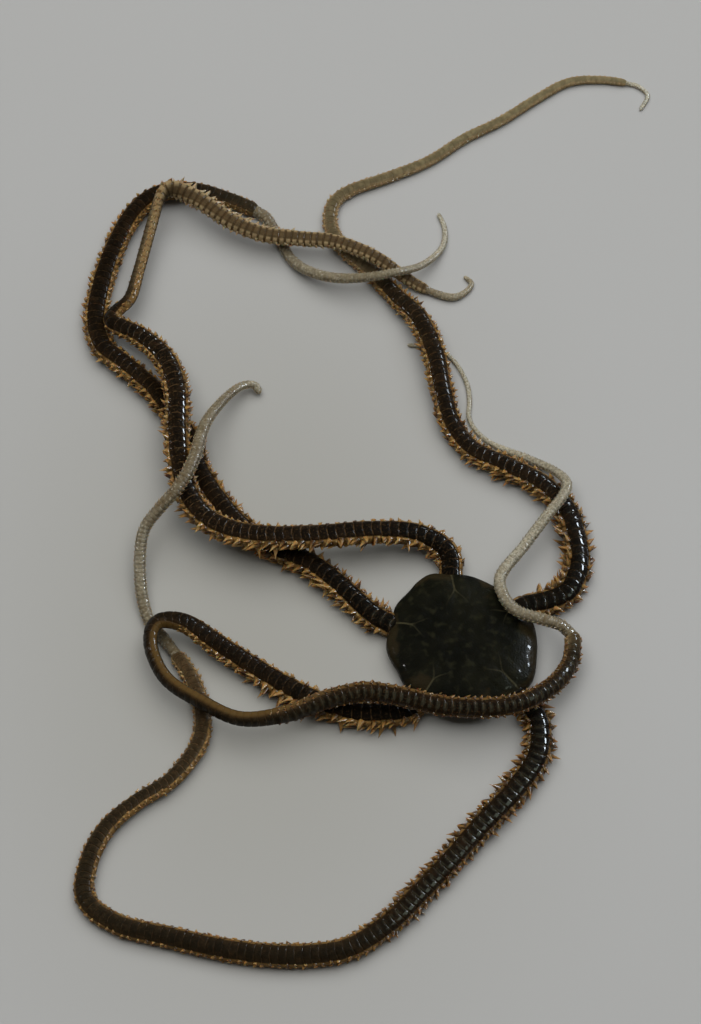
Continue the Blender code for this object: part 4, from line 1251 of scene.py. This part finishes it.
def make_spine_material(name, end, root):
    """Clear horn, darker at the root and varied from spine to spine."""
    material, tree = new_material(name)
    reach = read_field(tree, "reach")
    tone = read_field(tree, "tone")
    colour = (reach + tone).rise(0.35, 1.1).mix(root, end)
    bright = tone.rise(0.62, 0.9, 0, 0.6) * reach.rise(0.2, 0.8)
    colour = bright.mix(colour, SPINE_STRAW)
    colour = mottle(tree, 2500).rise(0.3, 0.8, 0, 0.4).mix(colour, root)
    colour = read_field(tree, "pale").mix(colour, OUTER_TAN)
    set_wet(
        material, colour, 7000, (0.25, 0.45), (0.25, 0.00006),
        Coat_Weight=0.35, Coat_Roughness=0.08, Subsurface_Weight=0.3, Subsurface_Scale=0.0005,
    )
    return material


def build_spines(name, draw, points, pale, clear, chart, material):
    """One object of spines, each with a tone of its own up to how clear it is there, and as
    pale as its place."""
    tone = draw.uniform(0, 1, len(points)) * clear
    fields = {
        "reach": np.append(SPINE_RINGS, 1)[:, None],
        "tone": tone[:, None, None],
        "pale": pale[:, None, None],
    }
    return build_tubes(name, points, fields, chart, material)


spine_material = make_spine_material("amber spines", SPINE_AMBER, SPINE_BROWN)
for number, (name, lie) in enumerate(LIES.items()):
    points, at, around = grow_spines(number, lie)
    place = (at + ROOT_INSIDE) / (lie.change + ROOT_INSIDE)
    draw = np.random.default_rng(TONE_SEED + number)
    pale = read_along(lie, at, PALE)
    clear = 1 - np.minimum(DULL_BY_RIBS * read_along(lie, at, SEAMS_AND_SHEEN), DULL_MOST)
    chart = spine_chart(place, around, trunk_strips(lie))
    spines = build_spines(f"arm_{name}_spines", draw, points, pale, clear, chart, spine_material)

# The regrown tips of the arms
#
# Where an arm broke off, a thinner and paler one has grown out of the stump. It is glassy and
# beige, with a grey-brown dot on each flank of every short segment and a fringe of minute
# spines lying along it, and it tapers to a thread.

TIP_PHASES = np.array([0.0, 0.1, 0.3, 0.55, 0.8, 0.92])
TIP_AROUND = np.linspace(0, 360, 26, endpoint=False)
TIP_SQUARE = 0.92
TIP_SEGMENT_SHARE = 0.76
TIP_GIRTH = 4.0

# How far a tip starts inside the stump, and up to where it has the width of its start
INTO_STUMP = 0.5
STUMP_LIP = 0.4

# The relief of a tip of the usual width: how high a segment swells and how deep its groove is
TIP_WIDTH = 1.3
TIP_SWELL = 0.05
TIP_GROOVE = 0.035
TIP_GROOVE_HALF = 0.09
TIP_CLOSE = 1.2

TIP_SPINE_LENGTH = 0.32
TIP_SPINE_ROOT = (0.10, 0.07)
TIP_SPINE_ROWS = np.array([(72, 25), (98, -5)])
TIP_SPINE_LEAN = 58
TIP_SPINE_VARY = {
    "along": (-0.12, 0.12), "around": (-5, 5), "raised": (-10, 10), "lean": (-12, 12),
    "length": (0.7, 1.2),
}
TIP_SPINE_SUNK = 0.06
TIP_SPINES_FROM = 0.6
TIP_SPINE_SEED = 60
TIP_TONE_SEED = 90

# What changes along a regrown tip, as rows of a length along the arm and three shares: how
# brown it is, how milky, and how strong the dark bars across it are
TIP_ALONG = {
    "a": [(120, 0.7, 0, 0.5), (124, 0.3, 0.3, 0.3)],
    "b": [
        (89, 0.85, 0, 0.5), (95, 0.7, 0, 0.6), (99, 0.3, 0.1, 0.5), (104, 0.4, 0, 0.5),
        (109, 0.4, 0, 0.4), (115, 0.15, 0.15, 0.3), (119, 0, 0.6, 0.2), (123, 0, 0.8, 0.1),
    ],
    "c": [(112, 0.1, 0.6, 0.2), (114, 0, 1, 0)],
    "d": [
        (111, 0.9, 0, 0.8), (116, 0.7, 0, 0.8), (120, 0.3, 0, 0.8), (126, 0.2, 0.2, 0.8),
        (132, 0.95, 0, 1), (138, 0.9, 0, 1), (144, 0.6, 0, 1), (151, 0.65, 0, 1),
        (155, 0.3, 0.2, 0.3),
    ],
    "e": [
        (99, 0.9, 0, 0.3), (103, 0.7, 0, 0.3), (108, 0.3, 0.15, 0.2), (114, 0, 0.5, 0.1),
        (121, 0, 0.5, 0.1), (130, 0.1, 0.3, 0.2), (149, 0, 0.7, 0.1), (157, 0.15, 0.4, 0.1),
    ],
}
BROWN, MILKY, BARRED = range(1, 4)


def tip_span(lie):
    """The segments of all of the regrown tip, which are shorter than the dark arm's."""
    return segment_span(lie, lie.change - INTO_STUMP, lie.length, TIP_SEGMENT_SHARE)


def grow_tip_spines(number, lie):
    """The fringe of a regrown tip: two spines a side on every segment, leaning far over
    towards the end, as tubes."""
    draw = np.random.default_rng(TIP_SPINE_SEED + number)
    s, count, segments = tip_span(lie)
    span = (s, count, segments - 1)
    vary, at = vary_spines(draw, TIP_SPINE_VARY, span, TIP_SPINE_ROWS)
    place = lie.at(at)
    _, _, _, tangent, width, _ = place
    size = width / TIP_WIDTH
    around = HANDS * (TIP_SPINE_ROWS[:, 0] + vary["around"])
    raised = TIP_SPINE_ROWS[:, 1] + vary["raised"]
    way = spine_way(place, raised, TIP_SPINE_LEAN + vary["lean"])
    root = skin_points(place, around, 1, 0)
    length = (TIP_SPINE_LENGTH * size * vary["length"])[..., None]
    base = root - way * TIP_SPINE_SUNK
    half = root + way * length / 2
    tip = root + way * length
    keep = at > lie.change + TIP_SPINES_FROM
    parts = (base, half, tip, tangent, size, at, around)
    return free_thorns(number, keep, parts, TIP_SPINE_ROOT)


def tip_surface(lie):
    """The rings of a regrown tip, from inside the stump out. A segment swells by half a sine
    wave and ends in a shallow groove, and the last one closes in a quarter circle."""
    s, count, segments = tip_span(lie)
    number = np.append((np.arange(segments)[:, None] + TIP_PHASES).reshape(-1), segments)
    at = np.interp(number, count, s)[:, None] + 0 * TIP_AROUND[None]
    number = number[:, None]
    place = list(lie.at(at))
    width = lie.at(np.maximum(at, lie.change + STUMP_LIP))[4]
    around = np.minimum(TIP_AROUND, 360 - TIP_AROUND)[None]
    phase = number % 1
    groove = np.exp(-((np.minimum(phase, 1 - phase) / TIP_GROOVE_HALF) ** 2))
    proud = (TIP_SWELL * np.sin(np.pi * phase) ** 0.8 - TIP_GROOVE * groove) * width / TIP_WIDTH
    proud = proud * (0.3 + 0.7 * np.sin(np.radians(around)))
    close = close_end(number, segments, TIP_CLOSE)
    place[4] = width * close
    place[5] = width * close * TIP_HEIGHT
    fields = {
        "segment": number,
        "around": around / 180,
        "brown": read_along(lie, at, BROWN, TIP_ALONG),
        "milky": read_along(lie, at, MILKY, TIP_ALONG),
        "barred": read_along(lie, at, BARRED, TIP_ALONG),
    }
    return skin_points(place, TIP_AROUND[None], TIP_SQUARE, proud * close), fields


# The width of a dark bar, in segments, and how far round the dots lie, in half turns
BAR = 0.30
DOT_AROUND = 0.31

TIP_BEIGE = (0.32, 0.29, 0.205)
TIP_TAN = (0.175, 0.150, 0.094)
TIP_MILK = (0.58, 0.55, 0.45)
TIP_BROWN = (0.118, 0.078, 0.034)
TIP_DOT = (0.070, 0.052, 0.031)
TIP_RIM = (0.31, 0.26, 0.155)


def make_tip_material():
    """Glassy beige with tan clouds and a fine grain, brown or milky by its place, with a dot on
    each flank and a dark bar across every segment."""
    material, tree = new_material("pale regrown arm")
    around = read_field(tree, "around")
    cloud = mottle(tree, 1600, 4, 0.65).rise(0.38, 0.68)
    colour = cloud.mix(TIP_BEIGE, TIP_TAN)
    colour = around.rise(0.40, 0.52, 0, 0.6).mix(colour, TIP_RIM)
    colour = (read_field(tree, "brown") * cloud.rise(0, 1, 0.75, 1.1)).mix(colour, TIP_BROWN)
    colour = read_field(tree, "milky").mix(colour, TIP_MILK)
    along = abs(read_field(tree, "segment").work("FRACT") - 0.5)
    dot = along.rise(0.14, 0.34, 0.85, 0) * abs(around - DOT_AROUND).rise(0.04, 0.10, 1, 0)
    bars = segment_marks(tree, BAR)[0] * read_field(tree, "barred")
    bars = bars * around.rise(0.05, 0.30, 0.25, 0.75)
    marks = dot.work("MAXIMUM", bars) * mottle(tree, 600).rise(0.38, 0.62, 0.3)
    colour = marks.mix(colour, TIP_DOT)
    colour = mottle(tree, 3300).rise(0.56, 0.68, 0, 0.45).mix(colour, TIP_MILK)
    colour = mottle(tree, 4200, 3, 0.7).rise(0.44, 0.60, 0, 0.75).mix(colour, TIP_TAN)
    wet = mottle(tree, 3000).rise(0.46, 0.56, 0.05)
    set_wet(
        material, colour, 6000, (0.45, 0.6), (0.3, 0.00005),
        Specular_IOR_Level=0.3, Coat_Weight=wet, Coat_Roughness=0.05, Coat_IOR=1.4,
        Subsurface_Weight=0.6, Subsurface_Scale=0.0015, Subsurface_Radius=(1.0, 0.8, 0.6),
    )
    return material


tip_material = make_tip_material()
fringe_material = make_spine_material("pale spines", TIP_BEIGE, TIP_TAN)
for number, (name, lie) in enumerate(LIES.items()):
    points, fields = tip_surface(lie)
    strips = max(1, round(math.sqrt((lie.length - lie.change) / TIP_GIRTH)))
    chart = strip_chart(*points.shape[:2], strips)
    tip = build_tubes(f"arm_{name}_tip", points, fields, chart, tip_material)
    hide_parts(*(node for node in NODES if node.startswith(f"arm_{name}_tip_")))
    points, at, around = grow_tip_spines(number, lie)
    place = (at - lie.change + INTO_STUMP) / (lie.length - lie.change + INTO_STUMP)
    draw = np.random.default_rng(TIP_TONE_SEED + number)
    chart = spine_chart(place, around, strips)
    pale = read_along(lie, at, BROWN, TIP_ALONG)
    fringe = build_spines(f"arm_{name}_tip_spines", draw, points, pale, 1, chart, fringe_material)

# The floor, the light and the camera
#
# A plain pale sheet of plastic under a large soft overhead light, with a cool window-like
# light low on the right that draws the wet glints along the right-hand sides. Three small
# lamps draw single glints on the left, on the lower right and by the disc.

FLOOR_HALF = 900.0
FLOOR_DROP = 0.01
FLOOR_GREY = (0.466, 0.471, 0.470)
FLOOR_CLOUD = (0.437, 0.442, 0.440)

# Painted shade: the floor is a little darker and warmer in a soft oval round the animal, where it
# is less lit
PAINTED_SHADE_MIDDLE = (-24.0, 2.0)
PAINTED_SHADE_HALF = (52.0, 78.0)
PAINTED_SHADE_STRENGTH = 0.8
FLOOR_PAINTED_SHADE = (0.368, 0.364, 0.330)


def make_floor():
    """A flat square sheet just under the animal. Its painted shade goes by the distance from the
    middle of the oval, in half widths of the oval."""
    corners = np.array([(-1, -1, 0), (1, -1, 0), (1, 1, 0), (-1, 1, 0)]) * FLOOR_HALF
    mesh = bpy.data.meshes.new("floor")
    mesh.from_pydata((corners - (0, 0, FLOOR_DROP)) * MM, [], [(0, 1, 2, 3)])
    material, tree = new_material("floor")
    colour = mottle(tree, 8).rise(0.3, 0.7, 0, 0.25).mix(FLOOR_GREY, FLOOR_CLOUD)
    place = add_node(tree, "ShaderNodeTexCoord", "Object")
    scale = [1 / (half * MM) for half in PAINTED_SHADE_HALF]
    shift = [-middle / half for middle, half in zip(PAINTED_SHADE_MIDDLE, PAINTED_SHADE_HALF)]
    oval = {"Vector": place, "Location": (*shift, 0), "Scale": (*scale, 0)}
    oval = {0: add_node(tree, "ShaderNodeMapping", "Vector", oval)}
    reach = add_node(tree, "ShaderNodeVectorMath", "Value", oval, operation="LENGTH")
    # Painted shade darkens the floor inside the oval
    colour = reach.rise(0, 1, PAINTED_SHADE_STRENGTH, 0).mix(colour, FLOOR_PAINTED_SHADE)
    set_shader(material, Base_Color=colour, Roughness=0.6)
    mesh.materials.append(material)
    place_object("floor", mesh)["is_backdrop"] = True


def add_softbox(name, place, size, power, colour, without):
    """A rectangular area light at a place in metres, turned to the origin, which leaves out
    either what it does to matt surfaces or what shiny ones mirror of it."""
    light = bpy.data.lights.new(name, "AREA")
    light.shape = "RECTANGLE"
    light.size, light.size_y = size
    light.energy = power
    light.color = colour
    lamp = place_object(name, light)
    lamp.location = place
    lamp.rotation_euler = (-Vector(place)).to_track_quat("-Z", "Y").to_euler()
    setattr(lamp, without, False)


# The lamps: place and size in metres, power in watts, colour, and what each leaves out
LAMPS = {
    "overhead light": ((0, 0.45, 1.1), (1.8, 1.8), 19.9, (1.0, 0.995, 0.98), "visible_glossy"),
    "window": ((0.66, 0.37, 0.52), (0.42, 0.15), 6.4, (0.80, 0.90, 1.0), "visible_diffuse"),
    "left lamp": ((-0.8, 0.15, 0.55), (0.12, 0.12), 0.8, (1.0, 1.0, 1.0), "visible_diffuse"),
    "right lamp": ((0.57, -0.125, 0.67), (0.35, 0.35), 0.6, (0.85, 1.0, 0.8), "visible_diffuse"),
    "far lamp": ((0.31, 0.76, 0.34), (0.10, 0.10), 0.4, (0.75, 0.9, 1.0), "visible_diffuse"),
}
ROOM_COLOUR = (0.80, 0.74, 0.62)
ROOM_STRENGTH = 0.08

make_floor()
for name, lamp in LAMPS.items():
    add_softbox(name, *lamp)
world = bpy.data.worlds.new("studio")
world.use_nodes = True
room = world.node_tree.nodes["Background"].inputs
fill(room["Color"], ROOM_COLOUR)
fill(room["Strength"], ROOM_STRENGTH)
bpy.context.scene.world = world
bpy.context.scene.view_settings.view_transform = "Standard"

# The camera looks down on the floor at 64 degrees from in front, through a long lens
CAMERA_PLACE = (-0.013326, -0.249623, 0.548552)
CAMERA_TILT = 26
LENS = 178.8
SENSOR = 36

camera_data = bpy.data.cameras.new("camera")
camera_data.lens = LENS
camera_data.sensor_width = SENSOR
camera = place_object("camera", camera_data)
camera.location = CAMERA_PLACE
camera.rotation_euler = (math.radians(CAMERA_TILT), 0, 0)
bpy.context.scene.camera = camera

[[list(corner) for corner in box] for box in (cad_box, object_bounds())]
